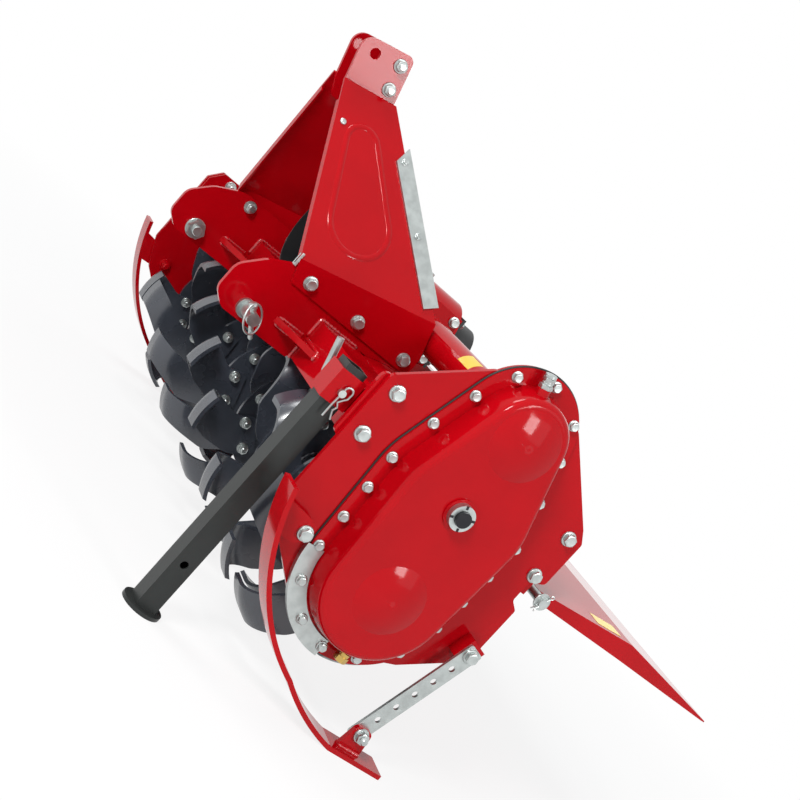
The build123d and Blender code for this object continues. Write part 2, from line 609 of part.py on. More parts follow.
def gearbox():
    bed_bottom = HOOD_TOP + WELD_GAP
    bed_top = bed_bottom + BED_T
    inner = HITCH_HALF - HITCH_T
    nodes["gearbox_bed"] = block((-inner, inner), BED_Y, (bed_bottom, bed_top))
    body = rod_y(*BOX_Y, 0, DRIVE_Z, BOX_R)
    body += rod_x(-BOX_R - BOX_BOSS, BOX_SIDE, DRIVE_Y, DRIVE_Z, NECK_R)
    square = (-TUBE_FLANGE / 2, TUBE_FLANGE / 2)
    body += block((BOX_SIDE, BOX_SIDE + TUBE_FLANGE_T),
                  (DRIVE_Y + square[0], DRIVE_Y + square[1]),
                  (DRIVE_Z + square[0], DRIVE_Z + square[1]))
    body += rod_y(INPUT_NECK_Y, BOX_Y[0], 0, DRIVE_Z, INPUT_NECK_R)
    base_x, base_y = BOX_BASE
    base_mid = (BED_Y[0] + BED_Y[1]) / 2
    body += block((-base_x / 2, base_x / 2), (base_mid - base_y / 2, base_mid + base_y / 2),
                  (bed_top, bed_top + BOX_BASE_T))
    body -= rod_y(INPUT_NECK_Y - 1, PTO_SEAT_Y, 0, DRIVE_Z, PTO_JOURNAL_R + RUN_CLEAR)
    nodes["gearbox"] = body
    shaft = rod_y(PTO_END_Y, PTO_SHOULDER_Y, 0, DRIVE_Z, PTO_R)
    shaft += rod_y(PTO_SHOULDER_Y, PTO_SEAT_Y - SEAT_GAP, 0, DRIVE_Z, PTO_JOURNAL_R)
    nodes["pto_shaft"] = shaft
    bell = rod_y(SHIELD_FRONT_Y, INPUT_NECK_Y, 0, DRIVE_Z, SHIELD_R)
    bell -= rod_y(SHIELD_FRONT_Y - 1, INPUT_NECK_Y - SHIELD_T, 0, DRIVE_Z, SHIELD_R - SHIELD_T)
    bell -= rod_y(INPUT_NECK_Y - 2 * SHIELD_T, INPUT_NECK_Y + 1, 0, DRIVE_Z, PTO_JOURNAL_R + SHIELD_HOLE_GAP)
    nodes["pto_shield"] = bell
    cap_y = BOX_Y[1]
    side = (-CAP_FLANGE / 2, CAP_FLANGE / 2)
    cap = block(side, (cap_y, cap_y + CAP_FLANGE_T), (DRIVE_Z + side[0], DRIVE_Z + side[1]))
    cap += rod_y(cap_y, cap_y + CAP_LENGTH, 0, DRIVE_Z, CAP_R)
    cap -= rod_y(cap_y - 1, cap_y + CAP_LENGTH - CAP_WALL, 0, DRIVE_Z, CAP_R - CAP_WALL)
    nodes["gearbox_cap"] = cap
    start = BOX_SIDE + TUBE_FLANGE_T
    tube = rod_x(start, PLATE_X, DRIVE_Y, DRIVE_Z, DRIVE_TUBE_R)
    tube += rod_x(PLATE_X - PLATE_FLANGE_T, PLATE_X, DRIVE_Y, DRIVE_Z, PLATE_FLANGE_R)
    tube -= rod_x(start - 1, PLATE_X + 1, DRIVE_Y, DRIVE_Z, DRIVE_TUBE_R - DRIVE_TUBE_WALL)
    nodes["drive_tube"] = tube


def swept(rows, lag):
    """Outline rows with the part beyond the disc's edge swept further back, by lag degrees at the tip."""
    out = []
    for w, r, corner in rows:
        reach = math.hypot(w, r)
        share = min(1.0, max(0.0, (reach - DISC_R) / (TINE_R - DISC_R)))
        angle = math.atan2(w, r) + math.radians(lag * share ** 2)
        out.append((reach * math.sin(angle), reach * math.cos(angle), corner))
    return out


def tine(lag):
    """One tine on a disc at x = 0, pointing up and swept towards +Y, its wing bent towards +X."""
    inner_top = WING_R - TINE_T
    foot = WING_R - TINE_BEND_R - TINE_T
    profile = make_face(Polyline(
        (0, foot), (TINE_T, foot), (TINE_T, inner_top), (TINE_REACH, inner_top),
        (TINE_REACH, WING_R), (0, WING_R), close=True))
    outer_corner = profile.vertices().sort_by_distance((0, WING_R, 0))[0]
    profile = fillet(outer_corner, TINE_BEND_R)
    inner_corner = profile.vertices().sort_by_distance((TINE_T, inner_top, 0))[0]
    profile = fillet(inner_corner, TINE_BEND_R - TINE_T)
    axis_r = TINE_R - WING_AXIS_DROP
    centre = (axis_r * math.sin(math.radians(lag)), axis_r * math.cos(math.radians(lag)))
    ring = Pos(0, *centre) * revolve(Plane.XZ * profile, Axis.X, 360)
    outline = outline_face(swept(TINE_OUTLINE, lag))
    wing = ring & across(outline, -1, TINE_REACH + 1)
    leg = across(outline & Pos(*centre) * Circle(foot + 1), 0, TINE_T)
    return wing + leg


def rotor():
    tube_end = PLATE_X - ROTOR_END_GAP
    shaft = rod_x(-tube_end, tube_end, 0, ROTOR_Z, ROTOR_TUBE_R)
    far_end = STUB_RECESS - SIDE_X - HOUSING_T
    shaft += rod_x(far_end, SIDE_X - STUB_RECESS, 0, ROTOR_Z, STUB_R)
    first = -(PLATE_X - DISC_END_GAP)
    pitch = -2 * first / (DISC_COUNT - 1)
    right = tine(0)
    far_end_tine = mirrored(right)
    left = mirrored(tine(FAR_HAND_LAG))
    for index in range(DISC_COUNT):
        x = first + pitch * index
        shaft += rod_x(x - DISC_T / 2, x + DISC_T / 2, 0, ROTOR_Z, DISC_R)
        row = []
        for k in range(TINES_PER_DISC):
            angle = 360.0 / TINES_PER_DISC * k + ROW_TWIST * index + ROW_PHASE
            outward = right if k % 2 else left
            if index == 0:
                outward = right
            if index == DISC_COUNT - 1:
                outward = far_end_tine
            offset = DISC_T / 2 if outward is right else -DISC_T / 2
            row.append((Pos(x + offset, 0, ROTOR_Z) * Rot(angle, 0, 0) * outward).solid())
        nodes[f"tine_row_{index + 1}"] = Compound(row)
    nodes["rotor_shaft"] = shaft
    bore = STUB_R + RUN_CLEAR
    near = rod_x(PLATE_X - HOUSING_T, PLATE_X, 0, ROTOR_Z, HOUSING_R)
    nodes["bearing_housing_gear"] = near - rod_x(0, SIDE_X, 0, ROTOR_Z, bore)
    far = rod_x(-SIDE_X - HOUSING_T, -SIDE_X, 0, ROTOR_Z, HOUSING_R)
    nodes["bearing_housing_far"] = far - rod_x(far_end - 1, 0, 0, ROTOR_Z, bore)


def skid():
    half = SKID_T / 2
    p0, p1, p2 = [(y, z + half) for y, z in SKID_ARC]
    q1 = (SKID_SOLE_ARC[0], SKID_SOLE_ARC[1] + half)
    flat0 = (SKID_FLAT_Y[0], half)
    flat1 = (SKID_FLAT_Y[1], half)
    path = ThreePointArc(p0, p1, p2) + ThreePointArc(p2, q1, flat0) + Line(flat0, flat1)
    band = trace(path, line_width=SKID_T)
    x0 = SIDE_X + SKID_GAP
    shoe = across(band, x0, x0 + SKID_W)
    bolt_y, bolt_z = SKID_BOLT
    lug = outline_face([(bolt_y + y, bolt_z + z, r) for y, z, r in FRONT_LUG])
    shoe += across(lug, x0, x0 + LUG_T)
    shoe += rod_x(SIDE_X, x0, *SKID_BOLT, SPACER_BOSS_R)
    lug_x = x0 + REAR_LUG_X
    lug_y, lug_z = REAR_LUG
    foot, head = REAR_LUG_HALF
    lug_top = lug_z + REAR_LUG_OVER
    rear = outline_face([
        (lug_y - foot, half, 0.0), (lug_y - head, lug_top, REAR_LUG_R),
        (lug_y + head, lug_top, REAR_LUG_R), (lug_y + foot, half, 0.0),
    ])
    shoe += across(rear, lug_x, lug_x + LUG_T)
    run = Vector(ADJUST_TOP[0] - lug_y, ADJUST_TOP[1] - lug_z, 0)
    tilt = math.degrees(math.atan2(run.Y, run.X))
    strip = Rectangle(run.length + 2 * ADJUST_END, ADJUST_W)
    strip = fillet(strip.vertices(), ADJUST_CORNER_R)
    pitch = run.length / (ADJUST_HOLES + 1)
    for k in range(1, ADJUST_HOLES + 1):
        strip -= Pos(pitch * k - run.length / 2, 0) * Circle(ADJUST_HOLE_R)
    middle = ((ADJUST_TOP[0] + lug_y) / 2, (ADJUST_TOP[1] + lug_z) / 2)
    strip = Pos(*middle) * Rot(0, 0, tilt) * strip
    bracket_x = lug_x - ADJUST_T
    adjuster = across(strip, bracket_x, lug_x)
    foot_face = Pos(*ADJUST_TOP) * Rot(0, 0, tilt) * Rectangle(BRACKET_L, BRACKET_W)
    hollow = Pos(*ADJUST_TOP) * Rot(0, 0, tilt) * Rectangle(2 * BRACKET_L, BRACKET_W - 2 * BRACKET_T)
    bracket = across(foot_face, SIDE_X, bracket_x)
    bracket -= across(hollow, SIDE_X - 1, bracket_x - BRACKET_T)
    nodes["skid_gear"] = shoe
    nodes["skid_adjuster_gear"] = adjuster
    nodes["adjuster_bracket_gear"] = bracket
    nodes["skid_far"] = mirrored(shoe)
    nodes["skid_adjuster_far"] = mirrored(adjuster)
    nodes["adjuster_bracket_far"] = mirrored(bracket)


def stand():
    """Collar on the beam, the leg that slides in it, and its locking pin."""
    inner = STAND_TUBE + 2 * STAND_CLEAR
    outer = inner + 2 * COLLAR_T
    z0, z1 = COLLAR_Z
    mid = (STAND_X, STAND_Y)
    collar = square_block(mid, outer, (z0, z1))
    collar += block((STAND_X - COLLAR_WEB_T / 2, STAND_X + COLLAR_WEB_T / 2),
                    (STAND_Y + outer / 2 - 1, BEAM_FRONT_Y), (z0, z1 - COLLAR_WEB_DROP))
    nodes["stand_socket"] = collar - square_block(mid, inner, (z0 - 1, z1 + 1))
    leg = square_block(mid, STAND_TUBE, (FOOT_T, STAND_LENGTH))
    leg -= square_block(mid, STAND_TUBE - 2 * STAND_WALL, (FOOT_T + LEG_FLOOR, STAND_LENGTH + 1))
    leg += rod_z(0, FOOT_T, *mid, FOOT_R)
    for hole_z in (STAND_PIN_Z, STAND_PIN_Z - STAND_TRAVEL):
        leg -= rod_x(STAND_X - STAND_TUBE, STAND_X + STAND_TUBE, STAND_Y, hole_z, STAND_HOLE_R)
    nodes["stand_leg"] = leg
    far = STAND_X - outer / 2
    near = STAND_X + outer / 2
    handle = rod_x(far - PIN_REACH, far, STAND_Y, STAND_PIN_Z, STAND_PIN_R)
    handle_x = far - PIN_REACH
    elbow = Pos(handle_x, STAND_Y, STAND_PIN_Z) * Rot(PIN_LEAN, 0, 0)
    handle += elbow * Sphere(STAND_PIN_R)
    handle += elbow * Pos(0, 0, PIN_HANDLE / 2) * Cylinder(STAND_PIN_R, PIN_HANDLE)
    tip = rod_x(near, near + PIN_TIP, STAND_Y, STAND_PIN_Z, STAND_PIN_R)
    nodes["stand_pin"] = Compound([handle.solid(), tip.solid()])


def deflector():
    """Hinged rear sheet with a folded wing at each end, and its hinge rod."""
    half = DEFLECTOR_HALF
    hy, hz = HINGE
    by, bz = DEFLECTOR_BEND
    ey, ez = DEFLECTOR_EDGE
    t = DEFLECTOR_T
    rise = math.atan2(bz - hz, by - hy)
    lift = HINGE_ROD_R + t / 6
    start = (hy - math.sin(rise) * lift, hz + math.cos(rise) * lift)
    rows = [start, (by, bz), (ey, ez), (ey, ez - t), (by, bz - t), (start[0], start[1] - t)]
    sheet = across(make_face(Polyline(*rows, close=True)), -half, half)
    wing = [(hy + WING_START[0], hz + WING_START[1]), (by, bz), (ey, ez), (ey - WING_TIP, ez - t),
            (by, bz - WING_DEPTH), (hy + WING_FOOT[0], hz + WING_FOOT[1])]
    side = make_face(Polyline(*wing, close=True))
    sheet += across(side, half - t, half)
    sheet += across(side, -half, -half + t)
    sheet -= rod_x(-half - 1, half + 1, *HINGE, HINGE_ROD_R + WELD_GAP / 2)
    for x in LUG_X:
        sheet -= block((x - LUG_PLATE_T / 2 - LUG_SLOT, x + LUG_PLATE_T / 2 + LUG_SLOT),
                       (hy - 2 * KNUCKLE_R, hy + KNUCKLE_R + LUG_SLOT),
                       (hz - 2 * KNUCKLE_R, hz + 2 * KNUCKLE_R))
    nodes["deflector"] = sheet
    end = PLATE_X + ROD_OVERHANG
    nodes["deflector_rod"] = rod_x(-end, end, *HINGE, HINGE_ROD_R)


side_plates()
beams()
nodes["rotor_hood"] = hood()
hitch()
mast()
gear_case()
gearbox()
rotor()
skid()
stand()
deflector()


def machine_shift():
    """Move that puts the origin at the middle of the bottom of the whole box."""
    boxes = [shape.bounding_box() for shape in nodes.values()]
    low = [min(getattr(b.min, axis) for b in boxes) for axis in "XYZ"]
    high = [max(getattr(b.max, axis) for b in boxes) for axis in "XYZ"]
    return (-(low[0] + high[0]) / 2, -(low[1] + high[1]) / 2, -low[2])


SHIFT = machine_shift()
if __name__ == "__main__":
    os.makedirs("parts", exist_ok=True)
    for name, shape in nodes.items():
        export_step(Pos(*SHIFT) * shape, f"parts/{name}.step")
    print("shift", SHIFT, "nodes", len(nodes))
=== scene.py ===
"""Looks of the rotary tiller: finishes, fasteners, welds, labels and small trim.

Sizes are in millimetres in the machine's own frame, unless a comment says metres: x from the centre
plane towards the gear case, y to the rear from the rotor's axis, z up from the ground.
"""
import json
import math

import bpy
import bmesh
from mathutils import Matrix, Vector


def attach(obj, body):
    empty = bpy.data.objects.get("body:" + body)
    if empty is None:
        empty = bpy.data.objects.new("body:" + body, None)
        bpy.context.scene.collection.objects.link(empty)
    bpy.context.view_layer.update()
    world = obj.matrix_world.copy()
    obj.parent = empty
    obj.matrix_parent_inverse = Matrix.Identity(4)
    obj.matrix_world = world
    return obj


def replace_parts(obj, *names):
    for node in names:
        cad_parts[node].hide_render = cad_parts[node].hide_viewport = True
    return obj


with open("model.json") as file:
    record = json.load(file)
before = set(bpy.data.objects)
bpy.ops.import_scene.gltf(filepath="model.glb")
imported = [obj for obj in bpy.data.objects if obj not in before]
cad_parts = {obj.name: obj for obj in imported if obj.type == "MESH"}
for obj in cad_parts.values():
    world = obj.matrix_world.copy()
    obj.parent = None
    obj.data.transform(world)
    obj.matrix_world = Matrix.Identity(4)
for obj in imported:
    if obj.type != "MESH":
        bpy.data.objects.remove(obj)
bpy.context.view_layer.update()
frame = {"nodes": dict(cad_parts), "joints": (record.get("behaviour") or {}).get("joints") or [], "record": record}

MM = 0.001
joints = {j["name"]: j for j in frame["joints"]}
AXLE = Vector(joints["rotor_spin"]["pos_m"])    # a point on the rotor's axis, in metres
ROTOR_Z = 245.0                                 # height of that axis above the ground


def place(x, y, z):
    """Point of the row frame, in metres, from millimetres in the machine's own frame."""
    return Vector((AXLE.x + x * MM, AXLE.y + y * MM, AXLE.z - ROTOR_Z * MM + z * MM))


# ---- camera ------------------------------------------------------------------------
AZIMUTH, ELEVATION, ROLL = 60.4, 5.6, 42.0      # degrees
CAMERA_AT = (2283.0, -1129.0, 668.0)
LENS = 60.75
SENSOR_WIDTH = 36.0
VIEW_END_M = 60.0


def add_camera():
    """Camera at CAMERA_AT, turned by AZIMUTH and ELEVATION, then rolled about its line of sight."""
    azimuth, elevation, roll = (math.radians(v) for v in (AZIMUTH, ELEVATION, ROLL))
    level = Vector((math.cos(azimuth), math.sin(azimuth), 0))
    back = Vector((math.sin(azimuth) * math.cos(elevation),
                   -math.cos(azimuth) * math.cos(elevation), math.sin(elevation)))
    upright = back.cross(level)
    right = level * math.cos(roll) + upright * math.sin(roll)
    up = back.cross(right)
    turn = Matrix((right, up, back)).transposed()
    data = bpy.data.cameras.new("camera")
    data.lens = LENS
    data.sensor_width = SENSOR_WIDTH
    data.clip_end = VIEW_END_M
    camera = bpy.data.objects.new("camera", data)
    camera.matrix_world = Matrix.Translation(place(*CAMERA_AT)) @ turn.to_4x4()
    bpy.context.collection.objects.link(camera)
    bpy.context.scene.camera = camera


add_camera()


# ---- materials ---------------------------------------------------------------------
def material(name, color, roughness, metallic=0.0, spread=0.06, grain=40.0, tint=0.12,
             bump=0.0, bump_scale=200.0, specular=0.5):
    """Principled finish with noise in its colour and roughness, and a fine bump."""
    mat = bpy.data.materials.new(name)
    mat.use_nodes = True
    nodes, links = mat.node_tree.nodes, mat.node_tree.links
    shader = nodes["Principled BSDF"]
    shader.inputs["Metallic"].default_value = metallic
    shader.inputs["Specular IOR Level"].default_value = specular
    where = nodes.new("ShaderNodeTexCoord")
    noise = nodes.new("ShaderNodeTexNoise")
    noise.inputs["Scale"].default_value = grain
    noise.inputs["Detail"].default_value = 4.0
    links.new(where.outputs["Object"], noise.inputs["Vector"])
    shade = nodes.new("ShaderNodeValToRGB")
    low, high = shade.color_ramp.elements
    low.position, high.position = 0.35, 0.65
    low.color = (*[c * (1 - tint) for c in color], 1)
    high.color = (*color, 1)
    links.new(noise.outputs["Fac"], shade.inputs["Fac"])
    links.new(shade.outputs["Color"], shader.inputs["Base Color"])
    rough = nodes.new("ShaderNodeMapRange")
    rough.inputs["To Min"].default_value = roughness - spread
    rough.inputs["To Max"].default_value = roughness + spread
    links.new(noise.outputs["Fac"], rough.inputs["Value"])
    links.new(rough.outputs["Result"], shader.inputs["Roughness"])
    if bump:
        fine = nodes.new("ShaderNodeTexNoise")
        fine.inputs["Scale"].default_value = bump_scale
        fine.inputs["Detail"].default_value = 3.0
        links.new(where.outputs["Object"], fine.inputs["Vector"])
        lift = nodes.new("ShaderNodeBump")
        lift.inputs["Strength"].default_value = bump
        lift.inputs["Distance"].default_value = MM
        links.new(fine.outputs["Fac"], lift.inputs["Height"])
        links.new(lift.outputs["Normal"], shader.inputs["Normal"])
    return mat


RED = material("red_gloss_paint", (0.44, 0.001, 0.005), 0.09, spread=0.03, grain=9.0, tint=0.10,
               bump=0.03, bump_scale=90.0, specular=0.18)
ZINC = material("zinc_plating", (0.52, 0.56, 0.55), 0.34, metallic=0.9, spread=0.1, grain=60.0,
                tint=0.18, bump=0.12, bump_scale=260.0)
BLACK = material("black_blade_paint", (0.044, 0.051, 0.066), 0.27, spread=0.07, grain=14.0,
                 tint=0.3, bump=0.10, bump_scale=120.0, specular=0.9)
OLIVE = material("black_stand_paint", (0.020, 0.023, 0.022), 0.38, spread=0.06, grain=18.0,
                 tint=0.25, bump=0.12, bump_scale=160.0, specular=0.35)
WELD = material("painted_weld", (0.52, 0.004, 0.010), 0.10, spread=0.04, grain=60.0, tint=0.2,
                bump=0.3, bump_scale=300.0, specular=1.0)
LABEL = material("yellow_label", (0.78, 0.58, 0.06), 0.35, grain=30.0, tint=0.06)
PLASTIC = material("black_moulded_plastic", (0.012, 0.013, 0.014), 0.5, bump=0.2, bump_scale=400.0)
RUBBER = material("black_gasket", (0.006, 0.006, 0.006), 0.6, bump=0.2, bump_scale=500.0)
BRASS = material("brass", (0.62, 0.42, 0.13), 0.3, metallic=1.0, bump=0.1)
STEEL = material("machined_steel", (0.42, 0.42, 0.42), 0.3, metallic=1.0, bump=0.1)
# DARK is blackened steel, and is also the painted shade of the idler nut's slots
DARK = material("blackened_steel_and_painted_slot_shade", (0.02, 0.02, 0.023), 0.35, metallic=0.6, bump=0.1)
FINISHES = {"red_paint": RED, "zinc_plate": ZINC, "black_paint": BLACK, "black_plastic": PLASTIC,
            "black_rubber": RUBBER, "brass": BRASS, "bare_steel": STEEL, "dark_steel": DARK}
OWN_FINISH = {"stand_leg": OLIVE}     # nodes with a finish that differs from their slot's
SHARP_NODES = ("gear_train",)         # closed inside the case, so its edges are left sharp
PAINTED_EDGE, METAL_EDGE = 1.4, 0.9
EDGE_SEGMENTS = 2
EDGE_ANGLE = 35                       # degrees; flatter joins stay as they are


def soften(obj, width):
    """Small bevel along an object's edges."""
    edge = obj.modifiers.new("edge", "BEVEL")
    edge.width = width * MM
    edge.segments = EDGE_SEGMENTS
    edge.limit_method = "ANGLE"
    edge.angle_limit = math.radians(EDGE_ANGLE)


def dress_nodes():
    """Finish and softened edges of every CAD node."""
    for row in frame["record"]["subparts"]:
        node = frame["nodes"][row["node"]]
        node.data.materials.clear()
        node.data.materials.append(OWN_FINISH.get(row["node"], FINISHES[row["material_slot"]]))
        if row["node"] not in SHARP_NODES:
            soften(node, PAINTED_EDGE if row["material_slot"] == "red_paint" else METAL_EDGE)


dress_nodes()


# ---- forms -------------------------------------------------------------------------
ROUND = 24                            # sides of a small turned form


def basis(axis):
    """Two directions square to the axis, and the axis itself."""
    w = Vector(axis).normalized()
    helper = Vector((0, 0, 1)) if abs(w.z) < 0.9 else Vector((1, 0, 0))
    u = helper.cross(w).normalized()
    return u, w.cross(u), w


def skin(bm, rings, closed=False):
    """Faces between rings of points, with the ends closed unless the rings form a loop."""
    loops = [[bm.verts.new(place(*p)) for p in ring] for ring in rings]
    pairs = list(zip(loops, loops[1:]))
    if closed:
        pairs.append((loops[-1], loops[0]))
    for low, high in pairs:
        count = len(low)
        for i in range(count):
            j = (i + 1) % count
            bm.faces.new((low[i], low[j], high[j], high[i]))
    if not closed:
        bm.faces.new(loops[0][::-1])
        bm.faces.new(loops[-1])


def turned(bm, at, axis, rows):
    """Turned form on an axis from rows of (height, radius)."""
    u, v, w = basis(axis)
    start = Vector(at)
    rings = []
    for height, radius in rows:
        ring = []
        for i in range(ROUND):
            angle = 2 * math.pi * i / ROUND
            ring.append(start + w * height + (u * math.cos(angle) + v * math.sin(angle)) * radius)
        rings.append(ring)
    skin(bm, rings)


def hexagon(bm, at, axis, across, low, high, spin=0.0):
    """Hexagon head or nut with the round chamfer that a lathe leaves on its corners."""
    u, v, w = basis(axis)
    start = Vector(at)
    half = across / 2
    rings = [[], [], [], []]
    for i in range(ROUND):
        angle = 2 * math.pi * i / ROUND
        folded = (angle + math.pi / 6) % (math.pi / 3) - math.pi / 6
        corner = half / math.cos(folded)
        ahead = u * math.cos(angle + spin) + v * math.sin(angle + spin)
        drop = (corner - half * 0.985) * 0.58
        for ring, radius, height in ((rings[0], corner * 0.97, low), (rings[1], corner, low + 0.5),
                                     (rings[2], corner, high - drop - 0.3), (rings[3], half * 0.92, high)):
            ring.append(start + w * height + ahead * radius)
    skin(bm, rings)


def sweep(bm, points, radius, sides=10, closed=False, ripple=None):
    """Round section carried along a run of points; ripple gives each station's share of the radius."""
    path = [Vector(p) for p in points]
    count = len(path)
    rings = []
    u = None
    for i, p in enumerate(path):
        before = path[i - 1] if (i or closed) else p
        after = path[(i + 1) % count] if (i < count - 1 or closed) else p
        ahead = (after - before).normalized()
        if u is None:
            u = basis(ahead)[0]
        u = (u - ahead * u.dot(ahead)).normalized()
        v = ahead.cross(u)
        size = radius * (ripple(i) if ripple else 1.0)
        angles = [2 * math.pi * k / sides for k in range(sides)]
        rings.append([p + (u * math.cos(angle) + v * math.sin(angle)) * size for angle in angles])
    skin(bm, rings, closed)


def plate(bm, corner, u, v, outline, thickness):
    """Flat plate: its outline in (u, v) from a corner, thickened along u x v."""
    u, v = Vector(u).normalized(), Vector(v).normalized()
    w = u.cross(v)
    start = Vector(corner)
    low = [start + u * a + v * b for a, b in outline]
    skin(bm, [low, [p + w * thickness for p in low]])


def arc(centre, u, v, radius, first, last, steps):
    """Points round a centre from one angle to another, in degrees from u towards v."""
    c, u, v = Vector(centre), Vector(u), Vector(v)
    out = []
    for i in range(steps + 1):
        angle = math.radians(first + (last - first) * i / steps)
        out.append(c + u * (radius * math.cos(angle)) + v * (radius * math.sin(angle)))
    return out


def rounded(width, height, radius):
    """Rectangle with round corners, as points from its corner."""
    steps = 5
    out = []
    for cx, cy, first in ((width - radius, radius, -90), (width - radius, height - radius, 0),
                          (radius, height - radius, 90), (radius, radius, 180)):
        for i in range(steps + 1):
            angle = math.radians(first + 90 * i / steps)
            out.append((cx + radius * math.cos(angle), cy + radius * math.sin(angle)))
    return out


def belt(low, high):
    """Outline round two circles given as (up, back, radius), as (up, back) points."""
    steps = 20
    (u0, b0, r0), (u1, b1, r1) = low, high
    run = Vector((u1 - u0, b1 - b0))
    ahead = math.atan2(run.y, run.x)
    lean = math.acos((r0 - r1) / run.length)
    out = []
    for (u, b, r), first, last in ((low, ahead + lean, ahead + 2 * math.pi - lean),
                                   (high, ahead - lean, ahead + lean)):
        for i in range(steps + 1):
            angle = first + (last - first) * i / steps
            out.append((u + r * math.cos(angle), b + r * math.sin(angle)))
    return out


def piece(name, bm, body, mat, smooth=38.0, bevel=0.0):
    """One Blender object from the collected faces, riding on a body; smooth is an angle in degrees."""
    bmesh.ops.recalc_face_normals(bm, faces=bm.faces)
    mesh = bpy.data.meshes.new(name)
    bm.to_mesh(mesh)
    bm.free()
    mesh.materials.append(mat)
    mesh.shade_smooth()
    mesh.set_sharp_from_angle(angle=math.radians(smooth))
    obj = bpy.data.objects.new(name, mesh)
    bpy.context.collection.objects.link(obj)
    if bevel:
        soften(obj, bevel)
    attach(obj, body)
    return obj


# ---- bolts and nuts ----------------------------------------------------------------
# size: across flats, head height, flange radius, flange thickness, stud radius
BOLT_SIZES = {"m6": (10.0, 4.5, 6.6, 1.2, 3.0), "m8": (13.0, 6.0, 9.2, 1.8, 4.0),
              "m10": (16.0, 7.0, 11.0, 2.2, 5.0), "m12": (18.5, 8.5, 13.2, 2.6, 6.0)}
THREAD_PITCH = 1.3
OUT, IN, BACK, UP, DOWN = (1, 0, 0), (-1, 0, 0), (0, 1, 0), (0, 0, 1), (0, 0, -1)


def flange(bm, at, axis, size):
    """Round flange under a bolt's head or a nut."""
    across, _, radius, thickness, _ = BOLT_SIZES[size]
    turned(bm, at, axis, ((-0.4, radius * 0.96), (0.2, radius), (thickness * 0.5, radius),
                          (thickness, radius * 0.93), (thickness + 0.6, across * 0.5)))


def bolt(bm, at, axis, size, spin):
    """Flanged hexagon bolt head with a shallow dish in its top, spun by an angle in radians."""
    across, height, _, low, _ = BOLT_SIZES[size]
    flange(bm, at, axis, size)
    hexagon(bm, at, axis, across, low, low + height, spin)
    top = low + height
    turned(bm, at, axis, ((top - 0.2, across * 0.43), (top + 0.25, across * 0.42),
                          (top + 0.1, across * 0.34)))


def nut(bm, at, axis, size, spin, stud=5.0):
    """Flanged nut with the bolt's threaded end standing out of it."""
    across, height, _, low, stud_r = BOLT_SIZES[size]
    flange(bm, at, axis, size)
    high = low + height * 1.15
    hexagon(bm, at, axis, across, low, high, spin)
    rows = [(high - 1.0, stud_r)]
    for i in range(int(stud / THREAD_PITCH)):
        base = high + i * THREAD_PITCH
        rows += [(base + 0.2, stud_r * 0.86), (base + THREAD_PITCH * 0.6, stud_r)]
    rows.append((high + stud + 0.6, stud_r * 0.8))
    turned(bm, at, axis, rows)


# ---- side plates and gear case -----------------------------------------------------
SIDE_X = 624.0               # outer face of the side plates
PLATE_X = 616.0              # their inner face
BEAM_FLANGE_X = 608.0        # inner face of the front beam's end flanges
FLANGE_X = 630.5             # outer face of the gear case's flange
WEAR_T = 3.0
CASE_FRONT_X = 674.5
# y, z of the bolts
CASE_BOLTS = (
    (-129.0, 242.0), (-131.0, 298.0), (-134.0, 354.0), (-137.0, 410.0), (-124.0, 486.0),
    (-102.0, 555.0), (-71.0, 615.0), (-9.0, 641.0), (61.0, 615.0), (88.0, 560.0),
    (112.0, 492.0), (137.0, 414.0), (134.0, 354.0), (131.0, 298.0), (128.0, 242.0),
    (108.0, 176.0), (56.0, 130.0),
)
WEAR_BOLTS = ((-113.0, 185.0), (-67.0, 136.0), (-8.0, 117.0))
BEAM_BOLTS = ((-196.0, 410.0), (-197.0, 486.0))
FAR_BEAM_BOLTS = ((-196.0, 410.0), (-170.0, 474.0))
REAR_BOLTS = ((205.0, 398.0), (205.0, 477.0))
SKID_BOLT = (-165.0, 247.0)
REAR_LUG = (140.0, 40.0)
ADJUST_TOP = (198.0, 240.0)
SKID_GAP = 8.0               # side plate to the skid
LUG_T = 8.0
LUG_X = SIDE_X + SKID_GAP + LUG_T        # outer face of a skid's front lug
REAR_LUG_X = SIDE_X + SKID_GAP + 22.0    # inner face of its rear lug
UPPER_GEAR = (-7.0, 548.0)
# y, z and outline radius round each gear
GASKET_CIRCLES = ((0.0, ROTOR_Z, 140.5), (0.0, 405.0, 149.5), (*UPPER_GEAR, 105.5))
GASKET_STATIONS = 180
FITTING_X = 648.1            # breather and drain plug, in the case's wall
BREATHER_LEAN = 18           # degrees forward of upright, round the upper gear
BREATHER_UP = 80             # upper gear's axis to the breather's seat
DRAIN = (FITTING_X, 22.0, 130.0)
IDLER = (-13.0, 410.0)
IDLER_NUT_X = CASE_FRONT_X + 14.0        # outer face of the idler's ring nut
IDLER_SLOTS = 4


def case_bolts():
    """Bolts round the gear case's cover and through the wear plate."""
    bm = bmesh.new()
    for i, (y, z) in enumerate(CASE_BOLTS):
        bolt(bm, (FLANGE_X, y, z), OUT, "m8", i * 0.9)
    for i, (y, z) in enumerate(WEAR_BOLTS):
        bolt(bm, (FLANGE_X + WEAR_T, y, z), OUT, "m8", i * 1.3)
    piece("case_bolts", bm, "frame", ZINC)


